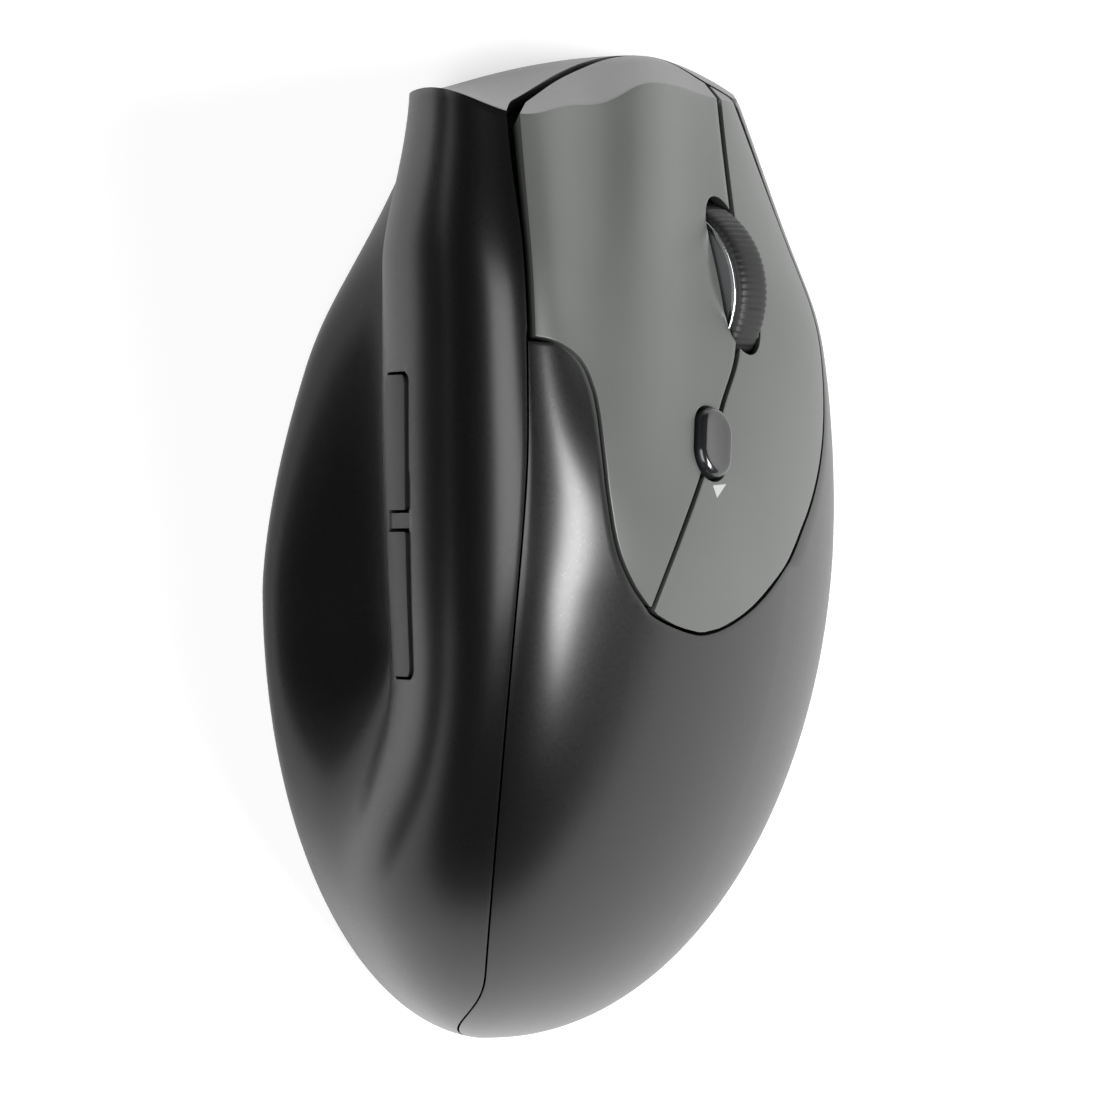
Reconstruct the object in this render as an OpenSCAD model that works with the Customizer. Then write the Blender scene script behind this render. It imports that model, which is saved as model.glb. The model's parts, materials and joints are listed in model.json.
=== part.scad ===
// Cordless vertical mouse for the right hand, in millimetres.
// The origin lies on the desk under the middle of the body.
// The nose points along +Y, the finger side along +X and the crest along +Z.

/* [Body] */
// Length from tail to nose
body_l = 120; // [118:0.5:126]
// Width across the thumb wing and the finger side
body_w = 70; // [69:0.5:74]
// How much further the finger side reaches from the tail line than the wing
side_lead = 14; // [13:0.5:15]
// Height of the crest above the desk
body_h = 66; // [65:0.5:69]
// Wall of the shells and the main buttons
wall = 2; // [1.8:0.1:2.1]
// Gap along the edges of the main buttons
button_gap = 0.6; // [0.5:0.05:0.8]
// Gap along the hairline seam between the shells
seam_gap = 0.25; // [0.2:0.05:0.4]
// Station of the widest point of the thumb wing
wing_y = -5; // [-7:0.5:-3]
// Station of the widest point of the finger side
finger_y = 5; // [3:0.5:7]
// Station of the highest point of the crest
crest_y = 18; // [16:0.5:20]
// Height of the thumb rest on the wing
rest_z = 16; // [15:0.5:17]
// Height of the groove under the thumb wall
groove_z = 23.5; // [22.5:0.5:24.5]
// Distance of the thumb wall from the tail line
thumb_reach = 12.4; // [12:0.1:13]

/* [Base] */
// Height of the base plate above the desk
foot_out = 0.6; // [0.5:0.05:0.8]
// Thickness of the flange under the shell rims
flange_t = 1.2; // [1.1:0.1:1.5]
// Height of the locating step inside the rims
step_t = 0.8; // [0.7:0.05:1]
// Thickness of the glide feet
foot_t = 0.8; // [0.7:0.05:1]
// Radius of the screw bosses
boss_r = 2.4; // [2.2:0.1:2.6]
// Radius of the screw shanks
screw_r = 1; // [0.9:0.05:1.1]
// Radius of the screw heads
head_r = 1.8; // [1.7:0.05:1.9]
// Thickness of the screw heads
head_t = 1; // [0.8:0.05:1.05]

/* [Finger side] */
// Slope of the button frame
tilt = 52; // [51:0.5:53]
// Fall of the button frame toward the nose
pitch = 13; // [12.5:0.5:13.5]
// Station of the wheel axle
wheel_y = 32.6; // [32:0.1:33.2]
// Side position of the wheel slot
wheel_x = 22.6; // [22.2:0.1:23]
// Radius of the wheel over the tyre
wheel_r = 11.5; // [11:0.1:12]
// Width of the tyre
wheel_w = 6; // [5.6:0.1:6.2]
// Height of the wheel above the button surface
wheel_out = 3; // [2.6:0.1:3.4]
// Radius of the wheel axle
axle_r = 1.5; // [1.2:0.1:1.7]
// Running clearance of round bearings
run_gap = 0.05; // [0.03:0.01:0.1]
// Width of the wheel slot across the buttons
slot_w = 7.4; // [7.2:0.1:7.8]
// Radius of the well that the wheel turns in
well_r = 12.7; // [12.5:0.1:13]
// Width of the oval button
oval_w = 5.8; // [5.4:0.1:6]
// Length of the oval button
oval_l = 8.6; // [8:0.1:9]
// Height of the oval button above the surface
oval_out = 1.1; // [0.8:0.1:1.3]
// Gap around the oval button
oval_gap = 0.45; // [0.4:0.05:0.6]
// Radius of the button pivot pin
pivot_r = 1.2; // [1:0.1:1.4]
// Thickness of the circuit boards
board_t = 1.2; // [1:0.1:1.4]

/* [Thumb side] */
// Rear end of the thumb button slot
slot_y0 = -15.4; // [-16:0.1:-15]
// Front end of the thumb button slot
slot_y1 = 21; // [20.4:0.1:21.6]
// Line between the two thumb buttons
slot_ym = 3.4; // [3:0.1:3.8]
// Width of the bar between the thumb buttons
divider_w = 1.8; // [1.6:0.1:2.2]
// Gap around the thumb buttons
thumb_gap = 0.4; // [0.35:0.05:0.5]
// Height of the thumb buttons above the wall
thumb_out = 0.4; // [0.2:0.05:0.6]

/* [Power] */
// Radius of the battery
battery_r = 7.25; // [6.8:0.05:7.3]
// Length of the battery
battery_l = 50.5; // [49:0.1:51]
// Gap around the battery door
door_gap = 0.3; // [0.25:0.05:0.4]

/* [Hidden] */
$fn = 48;
tail_y = -body_l/2;
nose_y = body_l/2;
tail_x = -side_lead/2;
wing = body_w/2 - side_lead/2;
reach = body_w/2 + side_lead/2;
base_z = foot_out;
rim_z = foot_out + flange_t;
floor_z = rim_z + step_t;
v_end = 15;
v_side = 13;

function mix(a, b, t) = a + (b - a)*t;
function ease(t) = let (s = min(1, max(0, t))) s*s*(3 - 2*s);
function bell(x, c, w) = exp(-pow((x - c)/w, 2));
function arch(y, c, back, front) =
    let (r = y < c ? (c - y)/back : (y - c)/front) sqrt(max(0, 1 - r*r));
function wing_arch(y) = y < wing_y ? arch(y, wing_y, wing_y - tail_y, 1)
    : 1 - 0.77*pow((y - wing_y)/(nose_y - wing_y), 1.6);
function soft_min(a, b) = -ln(exp(-1.2*a) + exp(-1.2*b))/1.2;

// Plan line of the crest
function crest_x(y) = let (s = max(0, 14 - y))
    tail_x + 4.8 - 1.5*pow(max(0, y - 14)/40, 2) - 0.08*s*(1 - exp(-s/12));

// Control points of one cross section, from the wing rim over the crest to the finger rim
function section(y) = let (
    hc = arch(y, crest_y, crest_y - tail_y, 86),
    hs = arch(y, crest_y, crest_y - tail_y, 300),
    gr = arch(y, finger_y, finger_y - tail_y, 79),
    xc = crest_x(y),
    xt = tail_x - thumb_reach*hs*(1 - 0.26*ease((y - 36)/26)),
    xg = xt + 2.4,
    xw = soft_min(tail_x - wing*wing_arch(y), xt + 1.5),
    xr = tail_x + reach*gr,
    zc = rim_z + (body_h - rim_z)*hc,
    zt = rim_z + (44 - rim_z)*hs,
    zb = rim_z + (17 - rim_z)*hs,
    g = ease((y + 46)/36),
    f = ease((y + 5)/35),
    waist = [
        [xw + 2.4*hs, rim_z],
        [xw + 0.1, rim_z + 2.2*hs],
        [xw - 0.5, rim_z + 7.2*hs],
        [mix(xw, xg, 0.42), rim_z + (rest_z - rim_z)*hs],
        [xg + 0.4, rim_z + (groove_z - rim_z)*hs],
        [xt - 0.5, rim_z + (33 - rim_z)*hs],
        [xt - 0.3, zt],
        [mix(xt, xc, 0.27), mix(zt, zc, 0.7)],
        [mix(xt, xc, 0.74), zc + 0.6*hs]],
    round_t = [0, -0.01, 0, 0.05, 0.14, 0.28, 0.46, 0.68, 0.9],
    round_z = [0, 0.05, 0.2, 0.39, 0.58, 0.76, 0.9, 0.99, 1.02],
    left = [for (i = [0:8]) mix([i == 0 ? xw + 2.4*hs : mix(xw, xc, round_t[i]),
        mix(rim_z, zc, round_z[i])], waist[i], g)],
    right_t = [0.1, 0.31, 0.61, 0.87],
    right_b = [1.02, 0.93, 0.69, 0.33],
    right_f = [1, 0.81, 0.5, 0.21],
    right = [for (i = [0:3]) [mix(xc, xr, right_t[i]), mix(zb, zc, mix(right_b[i], right_f[i], f))]])
    concat(left, right, [[xr + 0.8*gr, rim_z + 13.2*hs], [xr - 0.2*gr, rim_z + 4.2*hs],
        [xr - 3.2*gr, rim_z]]);
function spline(p, v) = let (
    n = len(p),
    k = min(n - 2, max(0, floor(v))),
    t = v - k,
    a = k > 0 ? p[k - 1] : 2*p[0] - p[1],
    d = k < n - 2 ? p[k + 2] : 2*p[n - 1] - p[n - 2])
    (a*pow(1 - t, 3) + p[k]*(3*t*t*t - 6*t*t + 4) + p[k + 1]*(-3*t*t*t + 3*t*t + 3*t + 1) + d*t*t*t)/6;
// Cross section with the shallow finger dishes pressed into the slope
function dished(y, q) = let (
    d = (-1.1*bell(q[0], 5, 4.5) + 0.5*bell(q[0], 12, 4) - 0.7*bell(q[0], 18, 4.5))
        *ease((y - 4)/30)*ease((q[1] - 15)/10))
    q + d*[0.79, 0.61];
function rib(y, p, v) = dished(y, spline(p, v));
// Front face, leaning back toward the crest; the lean starts lower on the finger side
function lean(h) = h < 10 ? pow(max(0, h), 2)/20 : h - 5;
function front_y(x, z) = nose_y - (x < 11 ? 0.0074 : 0.03)*pow(x - 11, 2)
    - lean(z - 16 + 12*ease((x - 10)/10))*(0.22*ease((x + 18)/18) + 0.07*bell(x, 7, 4));
function onto(y, q) = [q[0], y - (nose_y - front_y(q[0], q[1]))*ease((y - 22)/(nose_y - 22)), q[1]];
function skin(y, v) = onto(y, rib(y, section(y), v));
function unit(a) = a/norm(a);
function skin_n(y, v) = let (
    e = y < 0 ? 0.02 : -0.02,
    p = section(y),
    a = onto(y, rib(y, p, min(v_end, v + 0.03))) - onto(y, rib(y, p, max(0, v - 0.03))),
    b = (skin(y + e, v) - onto(y, rib(y, p, v)))/e)
    unit(cross(a, b));
function front_n(x, z) = unit([(front_y(x, z) - front_y(x + 0.02, z))/0.02, 1,
    (front_y(x, z) - front_y(x, z + 0.02))/0.02]);
// Section parameter at a plan position on the slope
function seek(y, p, x, lo, hi, n) = let (m = (lo + hi)/2)
    n == 0 ? m : rib(y, p, m)[0] < x ? seek(y, p, x, m, hi, n - 1) : seek(y, p, x, lo, m, n - 1);
function v_at(y, x) = seek(y, section(y), x, mix(2, 6.8, ease((y + 46)/36)), 12.7, 16);
// The seam follows the crest and turns to the wing side at the tail
function v_seam(y) = let (h = tail_y + 10)
    y < h ? mix(v_at(h, crest_x(h)), 4.5, pow((h - y)/10, 3.2)) : v_at(y, crest_x(y));
// Smooth curve through [station, value] pairs
function slope_at(t, i) = i == 0 ? (t[1][1] - t[0][1])/(t[1][0] - t[0][0])
    : i == len(t) - 1 ? (t[i][1] - t[i - 1][1])/(t[i][0] - t[i - 1][0])
    : (t[i + 1][1] - t[i - 1][1])/(t[i + 1][0] - t[i - 1][0]);
function span_of(t, y, i = 0) = i >= len(t) - 2 || y < t[i + 1][0] ? i : span_of(t, y, i + 1);
function curve(t, y) = let (
    i = span_of(t, y),
    h = t[i + 1][0] - t[i][0],
    s = min(1, max(0, (y - t[i][0])/h)))
    t[i][1]*(1 + 2*s)*(1 - s)*(1 - s) + slope_at(t, i)*h*s*(1 - s)*(1 - s)
    + t[i + 1][1]*s*s*(3 - 2*s) - slope_at(t, i + 1)*h*s*s*(1 - s);

// Plan lines that bound the button panel
inner_line = [[-7.4, 12.3], [-4.2, 10.1], [0, 8.3], [5.8, 7.2], [11.7, 6.5], [16.4, 5.9], [19.3, 5.2],
    [22.2, 3.8], [24.2, 1.4], [25.2, -1.2]];
middle_line = [[-7.4, 12.3], [-3, 14], [1.7, 15.8], [8.3, 18.2], [17.3, 20.9], [23.5, 22.7], [34, 22.7],
    [44, 22.4], [nose_y, 20.8]];
heel_line = [[-9.9, 18.2], [-9.1, 15.3], [-7.4, 12.3]];
outer_line = [[-9.9, 18.2], [-9.3, 20.7], [-7.2, 24.1], [-4, 27.1], [-1.3, 29], [3.6, 31.1]];
panel_y = 25.2;
function v_inner(y, d) = v_at(y, curve(inner_line, y) + d);
function v_middle(y, d) = v_at(y, y < -7.4 ? curve(heel_line, y) + d : curve(middle_line, y) + d);
function v_outer(y) = let (e = outer_line[len(outer_line) - 1]) y < e[0] ? v_at(y, curve(outer_line, y))
    : mix(v_at(e[0], e[1]), v_side, 1 - pow(1 - min(1, (y - e[0])/26), 2));

// Solid shell between two grids of points; each hole leaves out rows [0] to [1] of columns [2] to [3],
// and turned picks the diagonal of its edge faces
module shell(top, low, holes = [], turned = false) {
    nr = len(top);
    nc = len(top[0]);
    m = nr*nc;
    function cell(i, j) = i >= 0 && j >= 0 && i < nr - 1 && j < nc - 1
        && len([for (h = holes) if (i >= h[0] && i < h[1] && j >= h[2] && j < h[3]) h]) == 0;
    function at(i, j) = i*nc + j;
    function side(a, b) = turned ? [[a, b, a + m], [b, b + m, a + m]] : [[a, b, b + m], [a, b + m, a + m]];
    sheets = [for (i = [0:nr - 2], j = [0:nc - 2]) if (cell(i, j))
        let (a = at(i, j), b = at(i, j + 1), c = at(i + 1, j + 1), d = at(i + 1, j))
        each [[a, d, c], [a, c, b], [a + m, c + m, d + m], [a + m, b + m, c + m]]];
    edges = [for (i = [0:nr - 2], j = [0:nc - 2]) if (cell(i, j)) each concat(
        cell(i - 1, j) ? [] : side(at(i, j), at(i, j + 1)),
        cell(i + 1, j) ? [] : side(at(i + 1, j + 1), at(i + 1, j)),
        cell(i, j - 1) ? [] : side(at(i + 1, j), at(i, j)),
        cell(i, j + 1) ? [] : side(at(i, j + 1), at(i + 1, j + 1)))];
    polyhedron(concat([for (r = top) each r], [for (r = low) each r]), concat(sheets, edges));
}
function flat(n) = unit([n[0], n[1], 0]);
// Inner point under a skin point, level with the rim along the rim and straight in at the tail
function under(y, v, t) = let (
    n = y < tail_y + 0.1 ? [0, -1, 0] : skin_n(y, v),
    e = v < 0.01 || v > v_end - 0.01 ? flat(n) : n)
    skin(y, v) - t*e;
// Inner corner behind the front edge
function corner(v, t) = let (
    p = skin(nose_y, v),
    k = v < 0.01 || v > v_end - 0.01,
    n = k ? flat(skin_n(nose_y, v)) : skin_n(nose_y, v),
    q = k ? flat(front_n(p[0], p[2])) : front_n(p[0], p[2]))
    p - t*(n + q)/(1 + n*q);
function tail_row(a) = tail_y + body_l*(1 - cos(a));

// Thumb shell with the front face
v_slot = [5.95, 6.65];
v_nose = v_seam(nose_y);
tail_a = 0.6;
slot_rows = 9;
thumb_stations = concat(
    [for (i = [0:10]) mix(tail_row(tail_a), slot_y0, pow(i/11, 1.6))],
    [for (i = [0:slot_rows]) mix(slot_y0, slot_y1, i/slot_rows)],
    [for (i = [1:8]) mix(slot_y1, nose_y, i/8)]);
thumb_steps = [0, 0.6, 1.2, 1.8, 2.4, 3, 3.5, 4, 4.5, 5, 5.4, v_slot[0], 6.3, v_slot[1]];
// Section parameter across half the seam gap, square to the seam
function seam_half(y) = let (
    v = v_seam(y),
    e = y < 0 ? 0.1 : -0.1,
    t = skin(y + e, v_seam(y + e)) - skin(y, v),
    c = (skin(y, v + 0.05) - skin(y, v - 0.05))/0.1)
    min(0.4, 0.5*seam_gap*norm(t)/norm(cross(t, c)));
function thumb_edge(y) = v_seam(y) - (y > panel_y ? 0.1*ease((y - 40)/20) : seam_half(y));
function thumb_v(y, j) = let (e = thumb_edge(y), k = min(1, e/7.6))
    j < 14 ? k*thumb_steps[j] : mix(k*v_slot[1], e, (j - 13)/4);
front_cols = 8;
function fore_v(j) = v_end - thumb_v(nose_y, j)/thumb_edge(nose_y)*(v_end - v_side);
// Lip line, where the button panel ends on the front, as side position and height
nose_pts = [for (v = [0, v_end, v_nose, v_side]) let (p = skin(nose_y, v)) [p[0], p[2]]];
function front_lo(t) = mix(nose_pts[0], nose_pts[1], t);
function front_hi(t) = mix(nose_pts[2], nose_pts[3], t);
function lip(t) = let (
    lo = front_lo(t),
    hi = front_hi(t),
    z = mix(nose_pts[3][1], nose_pts[2][1], pow(1 - t, 2.5)))
    mix(lo, hi, (z - lo[1])/(hi[1] - lo[1]));
function lip_n(t) = let (d = lip(min(1, t + 0.02)) - lip(max(0, t - 0.02))) unit([-d[1], d[0]]);
function fore_pt(t, j) = let (
    a = skin(nose_y, thumb_v(nose_y, j)),
    b = skin(nose_y, fore_v(j)),
    q = mix([a[0], a[2]], [b[0], b[2]], t),
    w = norm(q - front_lo(t))/norm(front_hi(t) - front_lo(t)),
    r = q + w*(lip(t) - front_hi(t) - min(1, 12*t)*2*button_gap*lip_n(t)) - [t*seam_gap, 0])
    [r[0], front_y(r[0], r[1]), r[1]];
// Inner point of the front face, mitred where it meets the palm shell
function fore_in(t, j, d) = let (p = fore_pt(t, j), n = front_n(p[0], p[2]))
    t < 1 ? p - d*(j == 0 ? flat(n) : n) : p + corner(fore_v(j), d) - skin(nose_y, fore_v(j));
module thumb_body() {
    ys = thumb_stations;
    top = concat([for (y = ys) [for (j = [0:17]) skin(y, thumb_v(y, j))]],
        [for (i = [1:front_cols]) [for (j = [0:17]) fore_pt(i/front_cols, j)]]);
    low = concat([for (y = ys) [for (j = [0:17]) y > nose_y - 0.01 ? corner(thumb_v(y, j), wall)
        : under(y, thumb_v(y, j), wall)]],
        [for (i = [1:front_cols]) [for (j = [0:17]) fore_in(i/front_cols, j, wall)]]);
    shell(top, low, [[11, 11 + slot_rows, 11, 13]]);
    key_patch([slot_ym - divider_w/2, slot_ym + divider_w/2], v_slot + [-0.06, 0.06], -0.3, wall);
}
// Patch of the thumb wall, as deep below the skin as low says
module key_patch(y, v, out, low) {
    ys = [for (i = [0:thumb_key_rows]) mix(y[0], y[1], i/thumb_key_rows)];
    vs = [for (j = [0:4]) mix(v[0], v[1], j/4)];
    shell([for (y = ys) [for (v = vs) skin(y, v) + out*skin_n(y, v)]],
        [for (y = ys) [for (v = vs) skin(y, v) - low*skin_n(y, v)]]);
}

// Palm shell, rows across the back and two strips beside the button panel
function shifted(p, d) = [for (i = [0:len(p) - 1]) let (
    a = p[max(0, i - 1)],
    b = p[min(len(p) - 1, i + 1)],
    t = unit([b[0] - a[0], 13*(b[1] - a[1])]))
    p[i] + d*[t[1], -t[0]/13]];
back_rows = 13;
left_strip = 8;
strip_cols = 5;
left_end = 24.4;
heel_steps = [[-5.3, 10.8], [-6, 11.3], [-6.7, 11.8], [-7.4, 12.3], [-8.2, 13.5], [-8.8, 14.7], [-9.3, 15.9],
    [-9.7, 17.1], [-9.9, 18.2], [-9.8, 19.1], [-9.6, 19.9], [-9.3, 20.7], [-8.6, 22.1], [-7.2, 24.1],
    [-5.7, 25.7], [-4, 27.1], [-1.3, 29]];
// Stations of the right strip at the rim and at the panel
rim_steps = [[-8, -1.3], [-2, 2], [4, 6], [10.5, 11], [18, 18], [26, 26], [35, 35], [43.5, 43.5], [51, 51],
    [56, 56], [nose_y, nose_y]];
heel_cols = len(heel_steps) - 1;
right_col = strip_cols + heel_cols;
palm_cols = right_col + strip_cols;
right_strip = len(rim_steps) - 1;
panel_edge = shifted(concat(
    [for (k = [left_strip:-1:1]) let (y = mix(heel_steps[0][0], left_end, k/left_strip)) [y, v_inner(y, 0)]],
    [for (p = heel_steps) [p[0], v_at(p[0], p[1])]],
    [for (k = [1:right_strip]) [rim_steps[k][1], v_outer(rim_steps[k][1])]]), -0.5*button_gap);
// Place on the palm shell as an angle from the tail and a share of the way from the seam to the rim
function palm_uw(q) = [acos(1 - (q[0] - tail_y)/body_l), (q[1] - v_seam(q[0]))/(v_end - v_seam(q[0]))];
function palm_yv(u) = let (y = tail_row(u[0])) [y, mix(v_seam(y), v_end, u[1])];
function seam_at(k) = let (y = k == left_strip ? left_end : thumb_stations[back_rows + k])
    palm_uw([y, v_seam(y) + seam_half(y)]);
function rim_at(k) = palm_uw([rim_steps[k][0], v_end]);
heel_row = concat(
    [for (j = [0:strip_cols - 1]) mix(seam_at(0), palm_uw(panel_edge[left_strip]), j/strip_cols)],
    [for (j = [0:heel_cols]) palm_uw(panel_edge[left_strip + j])],
    [for (j = [1:strip_cols]) mix(palm_uw(panel_edge[left_strip + heel_cols]), rim_at(0), j/strip_cols)]);
function palm_back(i) = let (
    u = palm_uw([thumb_stations[i], 0])[0],
    s = (u - tail_a)/(palm_uw([thumb_stations[back_rows], 0])[0] - tail_a),
    w = seam_at(i - back_rows)[1])
    [for (q = heel_row) [mix(tail_a, q[0], s), q == heel_row[0] ? w : q[1]]];
function palm_front(k) = let (
    p = palm_uw(panel_edge[max(0, left_strip - k)]),
    q = palm_uw(panel_edge[left_strip + heel_cols + k]),
    m = seam_at(min(k, left_strip)))
    concat([for (j = [0:strip_cols]) mix(m, p, j/strip_cols)],
        [for (j = [1:heel_cols - 1]) mix(p, q, j/heel_cols)],
        [for (j = [0:strip_cols]) mix(q, rim_at(k), j/strip_cols)]);
module palm_body() {
    grid = concat([for (i = [0:back_rows - 1]) palm_back(i)], [heel_row],
        [for (k = [1:right_strip]) palm_front(k)]);
    places = [for (r = grid) [for (u = r) palm_yv(u)]];
    back = [0, seam_gap, 0];
    shell([for (r = places) [for (q = r) skin(q[0], q[1]) - (q[0] > nose_y - 0.01 ? back : [0, 0, 0])]],
        [for (r = places) [for (q = r) q[0] > nose_y - 0.01 ? corner(q[1], wall) - back
            : under(q[0], q[1], wall)]],
        [[back_rows, len(grid), strip_cols, right_col],
            [back_rows + left_strip, len(grid), 0, strip_cols]], turned = true);
}

// Main buttons, strips that run from the heel to the front edge and fold down over the front
crest_gap = 1;
button_cols = 9;
function left_rows() = concat([for (i = [0:8]) mix(-5.4, 20, i/8)], [22, 23.6, 24.6, 25.2, 26.4],
    [for (i = [1:7]) mix(26.4, nose_y, i/7)]);
function right_rows() = concat([-9.6, -9, -8, -6.4, -4], [for (i = [0:13]) mix(-1, nose_y, i/13)]);
function left_v(y, t) = mix(y < 25 ? v_inner(y, 0.5*button_gap) : v_at(y, crest_x(y) + crest_gap),
    v_middle(y, -0.5*button_gap), t);
function right_v(y, t) = mix(v_middle(y, 0.5*button_gap),
    v_outer(y) - button_gap/26 - 0.1*ease((y - 45)/15), t);
// Point of the folded front skirt
function skirt(v, k) = let (
    e = skin(nose_y, v),
    q = mix([e[0], e[2]], lip(pow((v - v_nose)/(v_side - v_nose), 0.75)), k))
    [q[0], front_y(q[0], q[1]), q[1]];
function skirt_in(v, k, d) = let (p = skirt(v, k)) p - d*front_n(p[0], p[2]);
module button_sheet(grid) {
    v = grid[len(grid) - 1];
    top = concat([for (r = grid) [for (q = r) skin(q[0], q[1])]],
        [for (k = [1:4]) [for (q = v) skirt(q[1], k/4)]]);
    low = concat([for (r = grid) [for (q = r) q[0] > nose_y - 0.01 ? corner(q[1], wall)
        : under(q[0], q[1], wall)]],
        [for (k = [1:4]) [for (q = v) skirt_in(q[1], k/4, wall)]]);
    shell(top, low);
}

// Local frame of the finger slope, its origin on the wheel axle and its z axis out of the slope
slope_x = [cos(tilt), 0, -sin(tilt)];
slope_y = [-sin(tilt)*sin(pitch), cos(pitch), -cos(tilt)*sin(pitch)];
slope_z = [sin(tilt)*cos(pitch), sin(pitch), cos(tilt)*cos(pitch)];
function station(x, yp, y, n) = n == 0 ? y : station(x, yp, y + yp - skin(y, v_at(y, x))[1], n - 1);
wheel_s = station(wheel_x, wheel_y, wheel_y, 4);
wheel_c = skin(wheel_s, v_at(wheel_s, wheel_x)) - (wheel_r - wheel_out)*slope_z;
module on_slope() translate(wheel_c) rotate([0, tilt, 0]) rotate([-pitch, 0, 0]) children();
function slope_pt(x, y, z) = wheel_c + x*slope_x + y*slope_y + z*slope_z;
function seek_slope(y, p, x, lo, hi, n) = let (m = (lo + hi)/2)
    n == 0 ? m : (onto(y, rib(y, p, m)) - wheel_c)*slope_x < x ? seek_slope(y, p, x, m, hi, n - 1)
    : seek_slope(y, p, x, lo, m, n - 1);
// Height of the outer skin over a point of the slope frame
function slope_h(x, y, s, n) = let (p = skin(s, seek_slope(s, section(s), x, 7.8, 13.3, 16)))
    n == 0 ? (p - wheel_c)*slope_z : slope_h(x, y, s + y - (p - wheel_c)*slope_y, n - 1);
function skin_h(x, y) = slope_h(x, y, wheel_y + y, 6);
module bar(a, b) translate(a) cube(b - a);
module stadium(w, l, a, b) translate([0, 0, a]) linear_extrude(b - a) {
    translate([0, (l - w)/2]) circle(w/2);
    translate([0, (w - l)/2]) circle(w/2);
    square([w, l - w], center = true);
}
board_z = -4.5;
deck_z = -7.2;
deck_t = 1.2;
key_top = 2.7;
left_key = [-13.5, 6];
right_key = [12, 1];
oval_plan = [19.5, 12.6];
oval_s = station(oval_plan[0], oval_plan[1], oval_plan[1], 4);
oval_p = skin(oval_s, v_at(oval_s, oval_plan[0])) - wheel_c;
oval_at = [oval_p*slope_x, oval_p*slope_y];
oval_h = oval_p*slope_z;
oval_turn = -20;
pivot_y = -29;
pivot_z = 1.4;
pin_ends = [-26.6, 5];

module slope_cuts() on_slope() {
    rotate([0, 90, 0]) {
        cylinder(h = slot_w, r = well_r - slot_w/2, center = true);
        rotate_extrude() translate([well_r - slot_w/2, 0]) circle(slot_w/2);
    }
    translate([oval_at[0], oval_at[1], 0]) rotate(oval_turn)
        stadium(oval_w + 2*oval_gap, oval_l + 2*oval_gap, 1, 30);
}
module knuckle(x0, x1) {
    h = min(skin_h(x0, pivot_y), skin_h(x1, pivot_y), skin_h(mix(x0, x1, 0.5), pivot_y)) - 0.6*wall;
    difference() {
        union() {
            bar([x0, pivot_y - 2.2, pivot_z], [x1, pivot_y + 2.2, h]);
            translate([x0, pivot_y, pivot_z]) rotate([0, 90, 0]) cylinder(h = x1 - x0, r = 2.2);
        }
        translate([x0 - 1, pivot_y, pivot_z]) rotate([0, 90, 0])
            cylinder(h = x1 - x0 + 2, r = pivot_r + run_gap);
    }
}
module presser(k) bar([k[0] - 1.2, k[1] - 1.5, key_top + 0.05],
    [k[0] + 1.2, k[1] + 1.5, skin_h(k[0], k[1]) - 0.6*wall]);

module left_button() color("#6e716e") {
    difference() {
        button_sheet([for (y = left_rows()) [for (j = [0:button_cols]) [y, left_v(y, j/button_cols)]]]);
        slope_cuts();
    }
    on_slope() {
        knuckle(-24.2, -19.6);
        presser(left_key);
    }
}
module right_button() color("#6e716e") {
    difference() {
        button_sheet([for (y = right_rows()) [for (j = [0:button_cols]) [y, right_v(y, j/button_cols)]]]);
        slope_cuts();
    }
    on_slope() {
        knuckle(-15.6, 2);
        presser(right_key);
    }
}
// Scroll wheel
hub_r = 10.4;
ring_t = 0.3;
hub_w = wheel_w - 2*ring_t;
axle_l = 18;
module wheel_tyre() color("#19191a") on_slope() rotate([0, 90, 0]) rotate_extrude()
    polygon([[hub_r, -hub_w/2], [wheel_r - 0.6, -hub_w/2], [wheel_r - 0.2, -hub_w/2 + 0.6],
        [wheel_r, -hub_w/4], [wheel_r, hub_w/4], [wheel_r - 0.2, hub_w/2 - 0.6],
        [wheel_r - 0.6, hub_w/2], [hub_r, hub_w/2]]);
module wheel_hub() color("#6b6d6e") on_slope() rotate([0, 90, 0]) difference() {
    cylinder(h = hub_w, r = hub_r, center = true);
    for (k = [-1, 1]) translate([0, 0, k*hub_w/2]) difference() {
        cylinder(h = 2, r = 7.4, center = true);
        cylinder(h = 3, r = 2.8, center = true);
    }
    cylinder(h = hub_w + 1, r = axle_r, center = true);
    for (i = [0:11]) rotate(30*i) translate([5, -0.5, -hub_w]) cube([1.9, 1, 2*hub_w]);
}
module wheel_rings() color("#c9ccd0") on_slope() rotate([0, 90, 0]) for (k = [0, 180]) rotate([k, 0, 0])
    translate([0, 0, hub_w/2]) difference() {
        cylinder(h = ring_t, r = hub_r);
        translate([0, 0, -1]) cylinder(h = 2, r = hub_r - 0.6);
    }
module wheel_axle() color("#9a9da0") on_slope() rotate([0, 90, 0])
    cylinder(h = axle_l, r = axle_r, center = true);
rail_x = [7, 8.4];
guide_y = 17.2;
guide_r = 1.2;
module wheel_carrier() color("#3a3b3d") on_slope() difference() {
    union() {
        for (k = [0, 180]) rotate(k) {
            bar([rail_x[0], -15.4, -2.2], [rail_x[1], 15.4, 2.2]);
            bar([-rail_x[1], 13.2, -2.2], [rail_x[1], 15.4, 2.2]);
            bar([-2.2, 15.3, -2.2], [2.2, 19.4, -0.6]);
        }
        rotate([0, 90, 0]) difference() {
            cylinder(h = 2*rail_x[1], r = 2.8, center = true);
            cylinder(h = 2*rail_x[0], r = 4, center = true);
        }
    }
    rotate([0, 90, 0]) cylinder(h = 30, r = axle_r + run_gap, center = true);
    for (k = [-1, 1]) translate([0, k*guide_y, -4]) cylinder(h = 6, r = guide_r + run_gap);
}
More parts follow.
